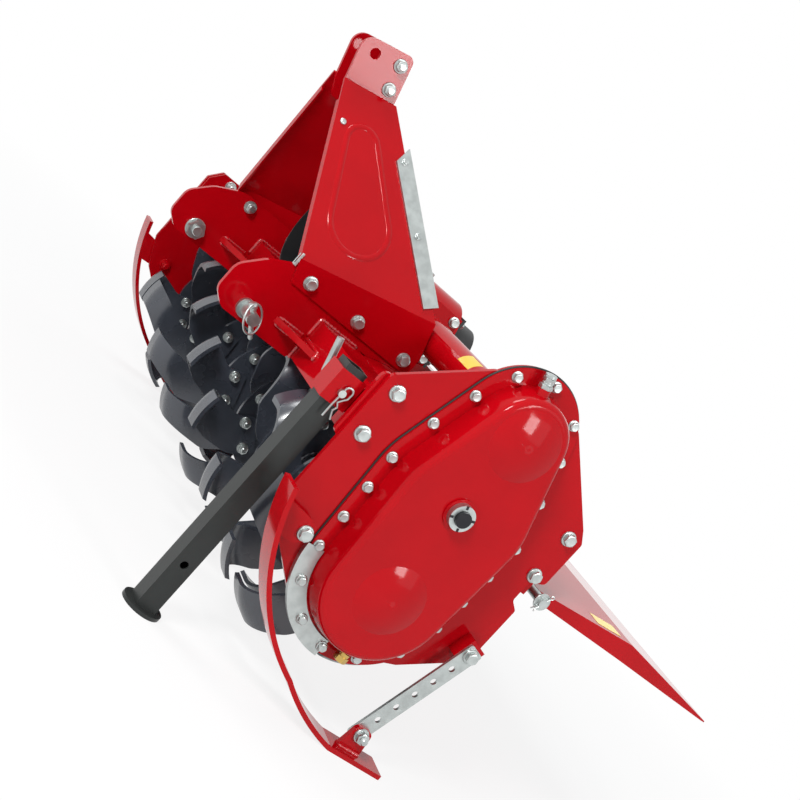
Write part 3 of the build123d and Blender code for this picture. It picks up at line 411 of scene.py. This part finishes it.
def side_bolts():
    """Bolts and nuts of the beams and skids, on both side plates."""
    bm = bmesh.new()
    for i, (y, z) in enumerate(BEAM_BOLTS + REAR_BOLTS):
        bolt(bm, (SIDE_X, y, z), OUT, "m12", i * 0.7)
    for i, (y, z) in enumerate(FAR_BEAM_BOLTS + REAR_BOLTS):
        bolt(bm, (-SIDE_X, y, z), IN, "m12", i * 0.8)
    bolt(bm, (LUG_X, *SKID_BOLT), OUT, "m12", 0.3)
    bolt(bm, (-LUG_X, *SKID_BOLT), IN, "m12", 0.5)
    for side, axis in ((1, OUT), (-1, IN)):
        nut(bm, (side * (REAR_LUG_X + LUG_T), *REAR_LUG), axis, "m12", 0.4, stud=7.0)
        bolt(bm, (side * REAR_LUG_X, *ADJUST_TOP), axis, "m12", 0.2)
    nut(bm, (-BEAM_FLANGE_X, *FAR_BEAM_BOLTS[1]), OUT, "m12", 0.5)
    piece("side_bolts", bm, "frame", ZINC)
    painted = bmesh.new()
    nut(painted, (BEAM_FLANGE_X, *BEAM_BOLTS[0]), IN, "m12", 0.2)
    nut(painted, (-PLATE_X, *SKID_BOLT), OUT, "m12", 0.5)
    nut(painted, (PLATE_X, *SKID_BOLT), IN, "m12", 0.5)
    piece("side_nuts", painted, "frame", RED)


def case_fittings():
    """Breather, drain plug's hexagon, painted shade of the idler's ring nut's slots as thin dark plates, and the
    nut's centre.
    """
    lean = math.radians(BREATHER_LEAN)
    axis = Vector((0, -math.sin(lean), math.cos(lean)))
    seat = Vector((FITTING_X, *UPPER_GEAR)) + axis * BREATHER_UP
    bm = bmesh.new()
    hexagon(bm, seat, axis, 19, 5.0, 12.0)
    turned(bm, seat, axis, ((12, 7.8), (12.5, 8.4), (15.5, 8.4), (16, 7.8)))
    hexagon(bm, seat, axis, 17, 18.0, 23.5)
    turned(bm, seat, axis, ((23, 7.7), (23.4, 9.2), (27.6, 9.2), (28.2, 8.2), (28.6, 4.0)))
    piece("breather_hexagon", bm, "frame", ZINC)
    bm = bmesh.new()
    turned(bm, seat, axis, ((-6, 10.5), (4.0, 10.5), (5.0, 9.6), (5.0, 7.6)))
    piece("breather_boss", bm, "frame", RED)
    bm = bmesh.new()
    hexagon(bm, DRAIN, DOWN, 20, 2.0, 12.3)
    piece("drain_hexagon", bm, "frame", BRASS)
    bm = bmesh.new()
    # painted shade: thin dark plates lying just proud of the nut's face where its slots are; no slots are cut
    for k in range(IDLER_SLOTS):
        angle = math.radians(360 / IDLER_SLOTS * k + 20)
        ahead = Vector((0, math.cos(angle), math.sin(angle)))
        aside = Vector((0, -math.sin(angle), math.cos(angle)))
        corner = Vector((IDLER_NUT_X - 0.6, *IDLER)) + ahead * 15.5 - aside * 2.0
        plate(bm, corner, ahead, aside, ((0, 0), (5.7, 0), (5.7, 4.0), (0, 4.0)), 0.9)
    piece("idler_nut_slot_painted_shade", bm, "frame", DARK)
    bm = bmesh.new()
    turned(bm, (IDLER_NUT_X + 2.5, *IDLER), OUT,
           ((0, 12.3), (0.6, 12.3), (1.0, 11.6), (1.0, 6.5), (0.2, 5.6), (0.2, 1.0)))
    piece("idler_centre", bm, "frame", DARK)


def gasket_bead():
    """Sealant pressed out all round, between the case's flange and the side plate."""
    bm = bmesh.new()
    points = []
    for i in range(GASKET_STATIONS):
        angle = 2 * math.pi * i / GASKET_STATIONS
        c, s = math.cos(angle), math.sin(angle)
        y, z, radius = max(GASKET_CIRCLES, key=lambda row: row[0] * c + row[1] * s + row[2])
        points.append((SIDE_X + 1.4, y + radius * c, z + radius * s))
    sweep(bm, points, 1.9, sides=8, closed=True)
    piece("gasket_bead", bm, "frame", RUBBER, smooth=60)


# ---- rotor -------------------------------------------------------------------------
DISC_FIRST_X, DISC_PITCH, DISC_COUNT, DISC_HALF = -560.0, 160.0, 8, 4.0
TINES, TINE_T = 6, 7.0
TINE_BOLT_R = 98.0
TINE_BOLT_HALF = 15.0        # degrees either side of a tine's middle line
ROW_PHASE = 1.0              # degrees, first disc
ROW_TWIST = 16.0             # degrees from one disc to the next
ROTOR_WELD_R = 37.5


def tine_bolts(index):
    """Two bolts through each tine of a disc, heads to the far side."""
    bm = bmesh.new()
    x = DISC_FIRST_X + DISC_PITCH * index
    for k in range(TINES):
        near = index == 0 or (k % 2 == 1 and index < DISC_COUNT - 1)
        nut_x = x + DISC_HALF + (TINE_T if near else 0.0)
        head_x = x - DISC_HALF - (0.0 if near else TINE_T)
        for offset in (-TINE_BOLT_HALF, TINE_BOLT_HALF):
            angle = math.radians(360 / TINES * k + ROW_TWIST * index + ROW_PHASE + offset)
            y = -TINE_BOLT_R * math.sin(angle)
            z = ROTOR_Z + TINE_BOLT_R * math.cos(angle)
            nut(bm, (nut_x, y, z), OUT, "m10", angle + k, stud=4.0)
            bolt(bm, (head_x, y, z), IN, "m10", angle * 2)
    piece("tine_bolts_%d" % (index + 1), bm, "rotor", ZINC)


def rotor_welds():
    """Beads that hold the discs to the rotor's tube."""
    bm = bmesh.new()
    for index in range(DISC_COUNT):
        x = DISC_FIRST_X + DISC_PITCH * index
        for side in (-1, 1):
            centre = (x + side * (DISC_HALF + 1), 0, ROTOR_Z)
            weld(bm, arc(centre, BACK, UP, ROTOR_WELD_R, 0, 360, 90), 4.5)
    piece("rotor_welds", bm, "rotor", BLACK, smooth=60)


# ---- gearbox, drive tube and input shaft -------------------------------------------
DRIVE_Y, DRIVE_Z = 32.0, 553.4
CAP_FACE_Y = 128.0           # rear face of the cap's flange
TUBE_FLANGE_X = 118.0        # outer face of the drive tube's square flange
BOX_BOLT_HALF = 46           # half the pitch of the cap's bolts
TUBE_BOLT_SHARE = 0.95       # and the square flange's share of it
BOX_FOOT = (-39.0, 495.4)    # y of its middle, z of its top
FOOT_HALF_X, FOOT_HALF_Y = 62, 27
FILLER_Z = DRIVE_Z + 73
PLATE_FLANGE_T, PLATE_FLANGE_BOLT_R = 10.0, 47
HOUSING_T, HOUSING_BOLT_R = 24.0, 42
FLANGE_BOLTS = 6
DRIVE_TUBE_R = 32.0
ROOT_R, TIP_R, JOURNAL_R = 14.6, 17.4, 20.0
SPLINES, SPLINE_STEPS = 6, 12
# y, radius between the splines, radius over them
SHAFT_ROWS = (
    (-190.0, ROOT_R - 1.5, ROOT_R - 1.2), (-187.6, ROOT_R, TIP_R), (-170.0, ROOT_R, TIP_R),
    (-169.0, ROOT_R - 0.6, ROOT_R - 0.5), (-163.0, ROOT_R - 0.6, ROOT_R - 0.5),
    (-162.0, ROOT_R, TIP_R), (-116.0, ROOT_R, TIP_R), (-114.2, ROOT_R + 2, TIP_R),
    (-114.0, JOURNAL_R - 0.4, JOURNAL_R - 0.4), (-113.4, JOURNAL_R, JOURNAL_R),
    (-61.0, JOURNAL_R, JOURNAL_R),
)


def drive_bolts():
    """Bolts of the gearbox, its cap, the drive tube's flanges and the bearing housings."""
    bm = bmesh.new()
    for dx in (-BOX_BOLT_HALF, BOX_BOLT_HALF):
        for dz in (-BOX_BOLT_HALF, BOX_BOLT_HALF):
            bolt(bm, (dx, CAP_FACE_Y, DRIVE_Z + dz), BACK, "m8", dx * 0.1 + dz)
            bolt(bm, (TUBE_FLANGE_X, DRIVE_Y + dx * TUBE_BOLT_SHARE, DRIVE_Z + dz * TUBE_BOLT_SHARE),
                 OUT, "m10", dz * 0.1)
    foot_y, foot_z = BOX_FOOT
    for dx in (-FOOT_HALF_X, FOOT_HALF_X):
        for dy in (-FOOT_HALF_Y, FOOT_HALF_Y):
            bolt(bm, (dx, foot_y + dy, foot_z), UP, "m8", dx * 0.3 + dy)
    for k in range(FLANGE_BOLTS):
        angle = math.radians(360 / FLANGE_BOLTS * k + 30)
        c, s = math.cos(angle), math.sin(angle)
        on_flange = (DRIVE_Y + PLATE_FLANGE_BOLT_R * c, DRIVE_Z + PLATE_FLANGE_BOLT_R * s)
        on_housing = (HOUSING_BOLT_R * c, ROTOR_Z + HOUSING_BOLT_R * s)
        bolt(bm, (PLATE_X - PLATE_FLANGE_T, *on_flange), IN, "m10", k * 0.7)
        bolt(bm, (PLATE_X - HOUSING_T, *on_housing), IN, "m8", k * 0.7)
        bolt(bm, (-SIDE_X - HOUSING_T, *on_housing), IN, "m8", k * 0.7)
    filler = (0, DRIVE_Y, FILLER_Z)
    turned(bm, filler, UP, ((0, 12), (1, 12.5), (4, 12.5), (5, 11)))
    hexagon(bm, filler, UP, 17, 5, 12)
    piece("drive_bolts", bm, "frame", ZINC)


def splined_shaft():
    """Input shaft with its splines and the groove for the yoke's lock."""
    bm = bmesh.new()
    count = SPLINES * SPLINE_STEPS
    rings = []
    for y, inner, outer in SHAFT_ROWS:
        ring = []
        for i in range(count):
            radius = outer if 3 <= i % SPLINE_STEPS <= 8 else inner
            angle = 2 * math.pi * i / count
            ring.append((radius * math.cos(angle), y, DRIVE_Z + radius * math.sin(angle)))
        rings.append(ring)
    skin(bm, rings)
    return piece("splined_shaft", bm, "pto", STEEL, smooth=30)


# ---- deflector and labels ----------------------------------------------------------
HINGE_Y, HINGE_Z = 249.0, 372.0
HINGE_LUGS = (-520.0, 0.0, 520.0)
HINGE_LUG_HALF = 5.2
HINGE_END_X = 627.0          # seat of the rod's end washers
SPLIT_PIN_X = 632.6
DEFLECTOR_RUN, DEFLECTOR_RISE = 227.0, 21.5
DEFLECTOR_OVER = 8.75        # its top face over the sloping line through the hinge
LABEL_X, LABEL_Y = 594.0, 396.0
LABEL_SIZE = (58.0, 34.0, 3.0)           # width, height, corner radius
LABEL_T = 0.3
TUBE_LABEL_X = (345, 392)
TUBE_LABEL_T = 0.5
TUBE_LABEL_FROM, TUBE_LABEL_TURN, TUBE_LABEL_STEPS = 112, 50, 12    # the first two in degrees


def hinge_trim():
    """Washers on the deflector's hinge rod, and the split pins that turn with it."""
    washers, pins = bmesh.new(), bmesh.new()
    for side in (1, -1):
        axis = (side, 0, 0)
        end = (side * HINGE_END_X, HINGE_Y, HINGE_Z)
        turned(washers, end, axis, ((0, 14.6), (0.4, 15), (2.6, 15), (3, 14.6)))
        for lug_x in HINGE_LUGS:
            lug = (lug_x + side * HINGE_LUG_HALF, HINGE_Y, HINGE_Z)
            turned(washers, lug, axis, ((0, 12.6), (0.3, 13), (2.2, 13), (2.5, 12.6)))
        x = side * SPLIT_PIN_X
        for dx in (-1.2, 1.2):
            leg = [(x + dx * side, HINGE_Y + 6, HINGE_Z + 13), (x + dx * side, HINGE_Y, HINGE_Z),
                   (x + dx * 2.2 * side, HINGE_Y - 7, HINGE_Z - 14),
                   (x + dx * 4 * side, HINGE_Y - 8, HINGE_Z - 18)]
            sweep(pins, leg, 1.1, sides=8)
        centre = (x, HINGE_Y + 7.6, HINGE_Z + 16)
        eye = arc(centre, (0, 0.42, 0.9), (0, -0.9, 0.42), 3.2, 0, 360, 14)[:-1]
        sweep(pins, eye, 1.1, sides=8, closed=True)
    piece("hinge_washers", washers, "frame", ZINC)
    piece("hinge_split_pins", pins, "deflector", ZINC)


def labels():
    """Blank stickers on the deflector and on the drive tube."""
    bm = bmesh.new()
    slope = math.atan2(DEFLECTOR_RISE, DEFLECTOR_RUN)
    ahead = (0, math.cos(slope), math.sin(slope))
    z = HINGE_Z + (LABEL_Y - HINGE_Y) * math.tan(slope) + DEFLECTOR_OVER
    # a and b change places because the sticker's width runs along the slope
    outline = [(b, a) for a, b in rounded(*LABEL_SIZE)][::-1]
    plate(bm, (LABEL_X, LABEL_Y, z), IN, ahead, outline, -LABEL_T)
    piece("deflector_label", bm, "deflector", LABEL)
    bm = bmesh.new()
    outer = DRIVE_TUBE_R + TUBE_LABEL_T / 2
    inner = outer - TUBE_LABEL_T
    first_x, last_x = TUBE_LABEL_X
    rings = []
    for i in range(TUBE_LABEL_STEPS + 1):
        angle = math.radians(TUBE_LABEL_FROM + TUBE_LABEL_TURN * i / TUBE_LABEL_STEPS)
        c, s = math.cos(angle), math.sin(angle)
        rings.append([(x, DRIVE_Y + radius * c, DRIVE_Z + radius * s) for x, radius in
                      ((first_x, outer), (last_x, outer), (last_x, inner), (first_x, inner))])
    skin(bm, rings)
    piece("tube_label", bm, "frame", LABEL)


# ---- mast --------------------------------------------------------------------------
HITCH_HALF = 235.0           # centre plane to a hitch plate's outer face
HITCH_T = 10.0
PANEL_T = 4.0
STRIP_T = 4.0
FOOT_BOLTS = ((-241.0, 495.0), (-130.0, 495.0), (-17.0, 495.0))
CLEVIS_BOLTS = ((-294.0, 868.0), (-282.0, 825.0))
CLEVIS_HALF = 31.0           # centre plane to a clevis plate's outer face
BEND_FRONT = Vector((HITCH_HALF, -283.0, 514.0))
BEND_REAR = Vector((HITCH_HALF, -15.0, 576.0))
PANEL_TOP = Vector((31.4, -357.5, 786.5))
PANEL_NORMAL = (BEND_REAR - BEND_FRONT).cross(PANEL_TOP - BEND_FRONT).normalized()
PANEL_UP = (PANEL_TOP - BEND_FRONT).normalized()
PANEL_BACK = PANEL_UP.cross(PANEL_NORMAL)
# the pressed bead is a belt round two circles: up, back, radius
PRESS_LOW = (102.0, 92.0, 58.0)
PRESS_HIGH = (246.0, 61.0, 31.0)
PRESS_HALF = 6.0             # half of the bead's width
# share of that half width, height above the sheet
PRESS_SECTION = ((-1.0, -0.3), (-0.8, 0.5), (-0.45, 1.3), (0.0, 1.7), (0.45, 1.3), (0.8, 0.5), (1.0, -0.3))
# up, back on the panel
PANEL_STUD = (268, 16)
STRIP_BOLTS = ((249.0, 147.0), (128.0, 203.0))


def hitch_bolts():
    """Bolts through the mast's feet, with nuts inside the hitch plates, and the clevis's bolts."""
    bm = bmesh.new()
    head_x = HITCH_HALF + PANEL_T
    nut_x = HITCH_HALF - HITCH_T
    for i, (y, z) in enumerate(FOOT_BOLTS):
        bolt(bm, (head_x, y, z), OUT, "m12", i * 0.6)
        bolt(bm, (-head_x, y, z), IN, "m12", i * 0.5)
        nut(bm, (nut_x, y, z), IN, "m12", i * 0.4)
        nut(bm, (-nut_x, y, z), OUT, "m12", i * 0.3 + 0.2)
    for i, (y, z) in enumerate(CLEVIS_BOLTS):
        nut(bm, (CLEVIS_HALF, y, z), OUT, "m12", i * 0.4, stud=4.0)
        bolt(bm, (-CLEVIS_HALF, y, z), IN, "m12", i * 0.5)
    piece("hitch_bolts", bm, "frame", ZINC)


def on_panel(up, back, lift, side):
    """Point over a mast panel's inner face, from its lower front corner; side -1 is the far panel."""
    p = BEND_FRONT + PANEL_UP * up + PANEL_BACK * back + PANEL_NORMAL * lift
    return Vector((p.x * side, p.y, p.z))


def panel_press(side, name):
    """Raised bead of the panel's pressing, with a soft section."""
    bm = bmesh.new()
    loops = []
    for share, height in PRESS_SECTION:
        grow = share * PRESS_HALF
        low = (*PRESS_LOW[:2], PRESS_LOW[2] + grow)
        high = (*PRESS_HIGH[:2], PRESS_HIGH[2] + grow)
        loops.append([on_panel(up, back, PANEL_T + height, side) for up, back in belt(low, high)])
    rings = [[loop[i] for loop in loops] for i in range(len(loops[0]))]
    skin(bm, rings, closed=True)
    piece(name, bm, "frame", RED, smooth=60)


def panel_trim(side, name):
    """Round-headed stud near a panel's top, and the bolts through its zinc strip."""
    bm = bmesh.new()
    axis = Vector((PANEL_NORMAL.x * side, PANEL_NORMAL.y, PANEL_NORMAL.z))
    turned(bm, on_panel(*PANEL_STUD, PANEL_T, side), axis,
           ((-0.3, 6.0), (0.6, 6.3), (1.6, 6.0), (2.8, 4.6), (3.4, 2.2)))
    for k, (up, back) in enumerate(STRIP_BOLTS):
        bolt(bm, on_panel(up, back, PANEL_T + STRIP_T, side), axis, "m6", k * 0.7 + 0.3)
    piece(name, bm, "frame", ZINC)


def shield_bracket():
    """Clip round the front edge of the mast panel, low down."""
    bm = bmesh.new()
    fork = ((0, 0), (12, 0), (12, 25), (9, 25), (9, 3.5), (3, 3.5), (3, 25), (0, 25))
    plate(bm, (227.0, -281.5, 501.0), OUT, UP, fork, 4.0)
    piece("shield_bracket", bm, "frame", ZINC, bevel=0.4)


# ---- hitch pins and parking stand --------------------------------------------------
PIN_Y, PIN_Z = -298.0, 396.0
PIN_TIP = HITCH_HALF + 62.0
PIN_NUT_T = 18
STAND_X, STAND_Y, STAND_PIN_Z = 576.0, -252.0, 434.0
COLLAR_HALF = 23.5


def lynch_pin(side, name):
    """Lynch pin through the link pin's tip, with its ring snapped down over the end."""
    bm = bmesh.new()
    centre = Vector((side * (PIN_TIP - 12.0), PIN_Y, PIN_Z))
    up = Vector((0, -0.6, 0.8))
    turned(bm, centre - up * 37, up,
           ((0, 2.0), (3, 4.2), (52, 4.4), (52.4, 6.6), (54, 7.6), (61, 7.6), (63, 6.2)))
    across = Vector((side * -0.66, 0.60, 0.45)).normalized()
    ring = arc(centre + Vector((side * 6.0, 0, 0)), up, across, 25.0, 0, 360, 48)[:-1]
    sweep(bm, ring, 1.9, closed=True)
    piece(name, bm, "frame", ZINC)


def link_pin_end(side, name):
    """Washer and threaded end of a link pin, on the inner face of its plate."""
    bm = bmesh.new()
    inner = HITCH_HALF - HITCH_T
    axis = (-side, 0, 0)
    turned(bm, (side * inner, PIN_Y, PIN_Z), axis, ((-0.3, 19.5), (0.4, 20.0), (2.8, 20.0), (3.2, 19.5)))
    turned(bm, (side * (inner - PIN_NUT_T), PIN_Y, PIN_Z), axis,
           ((-0.5, 10.0), (2.0, 9.6), (3.5, 10.0), (5.0, 9.6), (6.5, 10.0), (8.0, 8.6)))
    piece(name, bm, "frame", ZINC)


def stand_clip():
    """R-clip through the locking pin's tip, flat against the collar."""
    bm = bmesh.new()
    x = STAND_X + COLLAR_HALF + 4.5
    y, z = STAND_Y, STAND_PIN_Z
    straight = [(x, y - 1, z - 42), (x, y - 1, z - 20), (x, y + 0.5, z + 6)]
    bow = arc((x, y + 7, z + 7), BACK, UP, 6.8, 170, -10, 12)
    wave = [(x, y + 13, z - 2), (x, y + 7, z - 9), (x, y + 4, z - 14), (x, y + 9, z - 20),
            (x, y + 6, z - 27), (x, y + 9, z - 33), (x, y + 13, z - 40)]
    sweep(bm, straight + bow + wave, 1.7, sides=8)
    piece("stand_clip", bm, "frame", ZINC)


# ---- welds -------------------------------------------------------------------------
BEAM_Y, BEAM_LOW, BEAM_HIGH = -180.0, 378.0, 459.0
HITCH_SEAM_END, FLANGE_SEAM_END = -96.0, -110.0    # y where the beads on the beam's top stop
GUSSET_LOW, GUSSET_HIGH = 407.0, 418.0
GUSSET_ALONG = 77                                  # on the beam, from a hitch plate's face
GUSSET_SEAM = 62                                   # bead on the hitch plate, from the beam
STAND_WEB_HALF, STAND_WEB_LOW, STAND_WEB_HIGH = 6, 414, 455
SOLE_Z = 9.5
SOLE_SEAM = (117, 163)                             # y of the bead's ends at a skid's rear lug


def divide(points, step):
    """The same run with stations about a step apart."""
    out = [Vector(points[0])]
    for a, b in zip(points, points[1:]):
        a, b = Vector(a), Vector(b)
        parts = max(1, round((b - a).length / step))
        out += [a + (b - a) * (i + 1) / parts for i in range(parts)]
    return out


def weld(bm, points, radius):
    """Weld bead with the scales that its passes leave."""
    stations = divide(points, radius * 0.42)
    last = len(stations) - 1

    def scale(i):
        wave = 0.80 + 0.14 * (i % 4) / 3 + 0.09 * math.sin(i * 1.7) + 0.05 * math.sin(i * 0.61 + 1.0)
        end = min(i, last - i) / 3.0
        return wave * min(1.0, 0.35 + end)
    sweep(bm, stations, radius, ripple=scale)


def welds():
    """Beads of the hitch plates, gussets, beam flanges, stand socket and skid lugs."""
    bm = bmesh.new()
    face, top, over = BEAM_Y - 1, BEAM_HIGH + 1, GUSSET_HIGH + 2
    near, away = BEAM_Y - 6, BEAM_Y - GUSSET_SEAM
    for side in (1, -1):
        for x in (side * HITCH_HALF, side * (HITCH_HALF - HITCH_T)):
            weld(bm, [(x, face, BEAM_LOW - 4), (x, face, GUSSET_LOW - 4)], 5.2)
            weld(bm, [(x, face, GUSSET_HIGH + 4), (x, face, top), (x, HITCH_SEAM_END, top)], 5.2)
            weld(bm, [(x, near, GUSSET_HIGH + 1), (x, away, GUSSET_HIGH + 1)], 4.9)
            weld(bm, [(x, away, GUSSET_LOW - 1), (x, near, GUSSET_LOW - 1)], 4.9)
        far = side * (HITCH_HALF + GUSSET_ALONG)
        weld(bm, [(far, face, GUSSET_LOW - 2), (far, face, over)], 5.6)
        weld(bm, [(side * (HITCH_HALF + 6), face, over), (far, face, over)], 4.3)
        x = side * BEAM_FLANGE_X
        weld(bm, [(x, face, BEAM_LOW + 8), (x, face, BEAM_HIGH)], 4.7)
        weld(bm, [(x, BEAM_Y, top), (x, FLANGE_SEAM_END, top)], 4.7)
    for x in (STAND_X - STAND_WEB_HALF, STAND_X + STAND_WEB_HALF):
        for y in (face, STAND_Y + COLLAR_HALF + 1):
            weld(bm, [(x, y, STAND_WEB_LOW), (x, y, STAND_WEB_HIGH)], 3.8)
    for side in (1, -1):
        for from_lug in (-1.0, LUG_T + 1.0):
            x = side * (REAR_LUG_X + from_lug)
            weld(bm, [(x, y, SOLE_Z) for y in SOLE_SEAM], 4.1)
    piece("weld_beads", bm, "frame", WELD, smooth=60)


# ---- all the pieces ----------------------------------------------------------------
case_bolts()
side_bolts()
hitch_bolts()
for name_end, hand in (("gear", 1), ("far", -1)):
    panel_press(hand, "panel_pressing_" + name_end)
    panel_trim(hand, "panel_trim_" + name_end)
    lynch_pin(hand, "lynch_pin_" + name_end)
    link_pin_end(hand, "link_pin_washer_" + name_end)
for disc in range(DISC_COUNT):
    tine_bolts(disc)
rotor_welds()
drive_bolts()
case_fittings()
hinge_trim()
gasket_bead()
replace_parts(splined_shaft(), "pto_shaft")
labels()
stand_clip()
shield_bracket()
welds()


# ---- floor and light, in metres ----------------------------------------------------
FLOOR_HALF = 14.0
SHADOW_NEAR, SHADOW_FAR = 0.9, 2.6    # the shadow fades out between these, from the origin
SHADOW_GLOW = 0.84                    # how white the floor is under the machine, 1 being all white
SKY_STRENGTH = 0.22
MIDDLE = (0.0, 0.0, 0.4)              # what the lamps point at
# name, place, size, power in watts
LAMPS = (
    ("key", (2.3, -3.0, 2.5), (0.9, 0.9), 112.0),
    ("fill", (3.9, 1.8, 1.6), (1.6, 1.6), 7.0),
    ("front", (-1.0, -2.6, 4.2), (1.6, 1.6), 100.0),
    ("crown", (2.85, 0.55, 1.30), (0.55, 0.75), 24.0),
    ("rear", (-2.0, 3.4, 2.6), (2.4, 2.0), 26.0),
)


def seen_ray(nodes, links):
    """1 for rays from the eye, and for those mirrored or passed through."""
    path = nodes.new("ShaderNodeLightPath")
    either = nodes.new("ShaderNodeMath")
    either.operation = "MAXIMUM"
    links.new(path.outputs["Is Camera Ray"], either.inputs[0])
    links.new(path.outputs["Is Glossy Ray"], either.inputs[1])
    total = nodes.new("ShaderNodeMath")
    total.operation = "MAXIMUM"
    links.new(either.outputs["Value"], total.inputs[0])
    links.new(path.outputs["Is Transmission Ray"], total.inputs[1])
    return total.outputs["Value"]


def add_floor():
    """White floor that keeps a faint shadow near the machine."""
    mesh = bpy.data.meshes.new("floor")
    corners = [(-FLOOR_HALF, -FLOOR_HALF, 0), (FLOOR_HALF, -FLOOR_HALF, 0),
               (FLOOR_HALF, FLOOR_HALF, 0), (-FLOOR_HALF, FLOOR_HALF, 0)]
    mesh.from_pydata(corners, [], [(0, 1, 2, 3)])
    floor = bpy.data.objects.new("floor", mesh)
    bpy.context.collection.objects.link(floor)
    mat = bpy.data.materials.new("floor")
    mat.use_nodes = True
    nodes, links = mat.node_tree.nodes, mat.node_tree.links
    shader = nodes["Principled BSDF"]
    shader.inputs["Base Color"].default_value = (0.88, 0.88, 0.88, 1)
    shader.inputs["Roughness"].default_value = 0.9
    glow = nodes.new("ShaderNodeEmission")
    glow.inputs["Strength"].default_value = 1.0
    # white to the eye and to mirrors; near the machine a share is left for its shadow
    seen = seen_ray(nodes, links)
    where = nodes.new("ShaderNodeTexCoord")
    length = nodes.new("ShaderNodeVectorMath")
    length.operation = "LENGTH"
    links.new(where.outputs["Object"], length.inputs[0])
    fade = nodes.new("ShaderNodeMapRange")
    fade.inputs["From Min"].default_value = SHADOW_NEAR
    fade.inputs["From Max"].default_value = SHADOW_FAR
    fade.inputs["To Min"].default_value = SHADOW_GLOW
    fade.inputs["To Max"].default_value = 1.0
    links.new(length.outputs["Value"], fade.inputs["Value"])
    share = nodes.new("ShaderNodeMath")
    share.operation = "MULTIPLY"
    links.new(seen, share.inputs[0])
    links.new(fade.outputs["Result"], share.inputs[1])
    mix = nodes.new("ShaderNodeMixShader")
    links.new(share.outputs["Value"], mix.inputs["Fac"])
    links.new(shader.outputs["BSDF"], mix.inputs[1])
    links.new(glow.outputs["Emission"], mix.inputs[2])
    links.new(mix.outputs["Shader"], nodes["Material Output"].inputs["Surface"])
    mesh.materials.append(mat)


def add_world():
    """Dim cool sky that looks white to the eye and to mirrors."""
    world = bpy.data.worlds.new("world")
    bpy.context.scene.world = world
    world.use_nodes = True
    nodes, links = world.node_tree.nodes, world.node_tree.links
    light = nodes["Background"]
    light.inputs["Color"].default_value = (0.9, 0.93, 1.0, 1)
    light.inputs["Strength"].default_value = SKY_STRENGTH
    backdrop = nodes.new("ShaderNodeBackground")
    backdrop.inputs["Color"].default_value = (1, 1, 1, 1)
    backdrop.inputs["Strength"].default_value = 1.0
    mix = nodes.new("ShaderNodeMixShader")
    links.new(seen_ray(nodes, links), mix.inputs["Fac"])
    links.new(light.outputs["Background"], mix.inputs[1])
    links.new(backdrop.outputs["Background"], mix.inputs[2])
    links.new(mix.outputs["Shader"], nodes["World Output"].inputs["Surface"])


def add_lamp(name, at, size, power):
    """Rectangular lamp that points at the machine's middle."""
    data = bpy.data.lights.new(name, "AREA")
    data.shape = "RECTANGLE"
    data.size, data.size_y = size
    data.energy = power
    lamp = bpy.data.objects.new(name, data)
    lamp.location = at
    lamp.rotation_euler = (Vector(MIDDLE) - Vector(at)).to_track_quat("-Z", "Y").to_euler()
    bpy.context.collection.objects.link(lamp)


add_floor()
add_world()
for lamp in LAMPS:
    add_lamp(*lamp)
bpy.context.scene.view_settings.view_transform = "Standard"
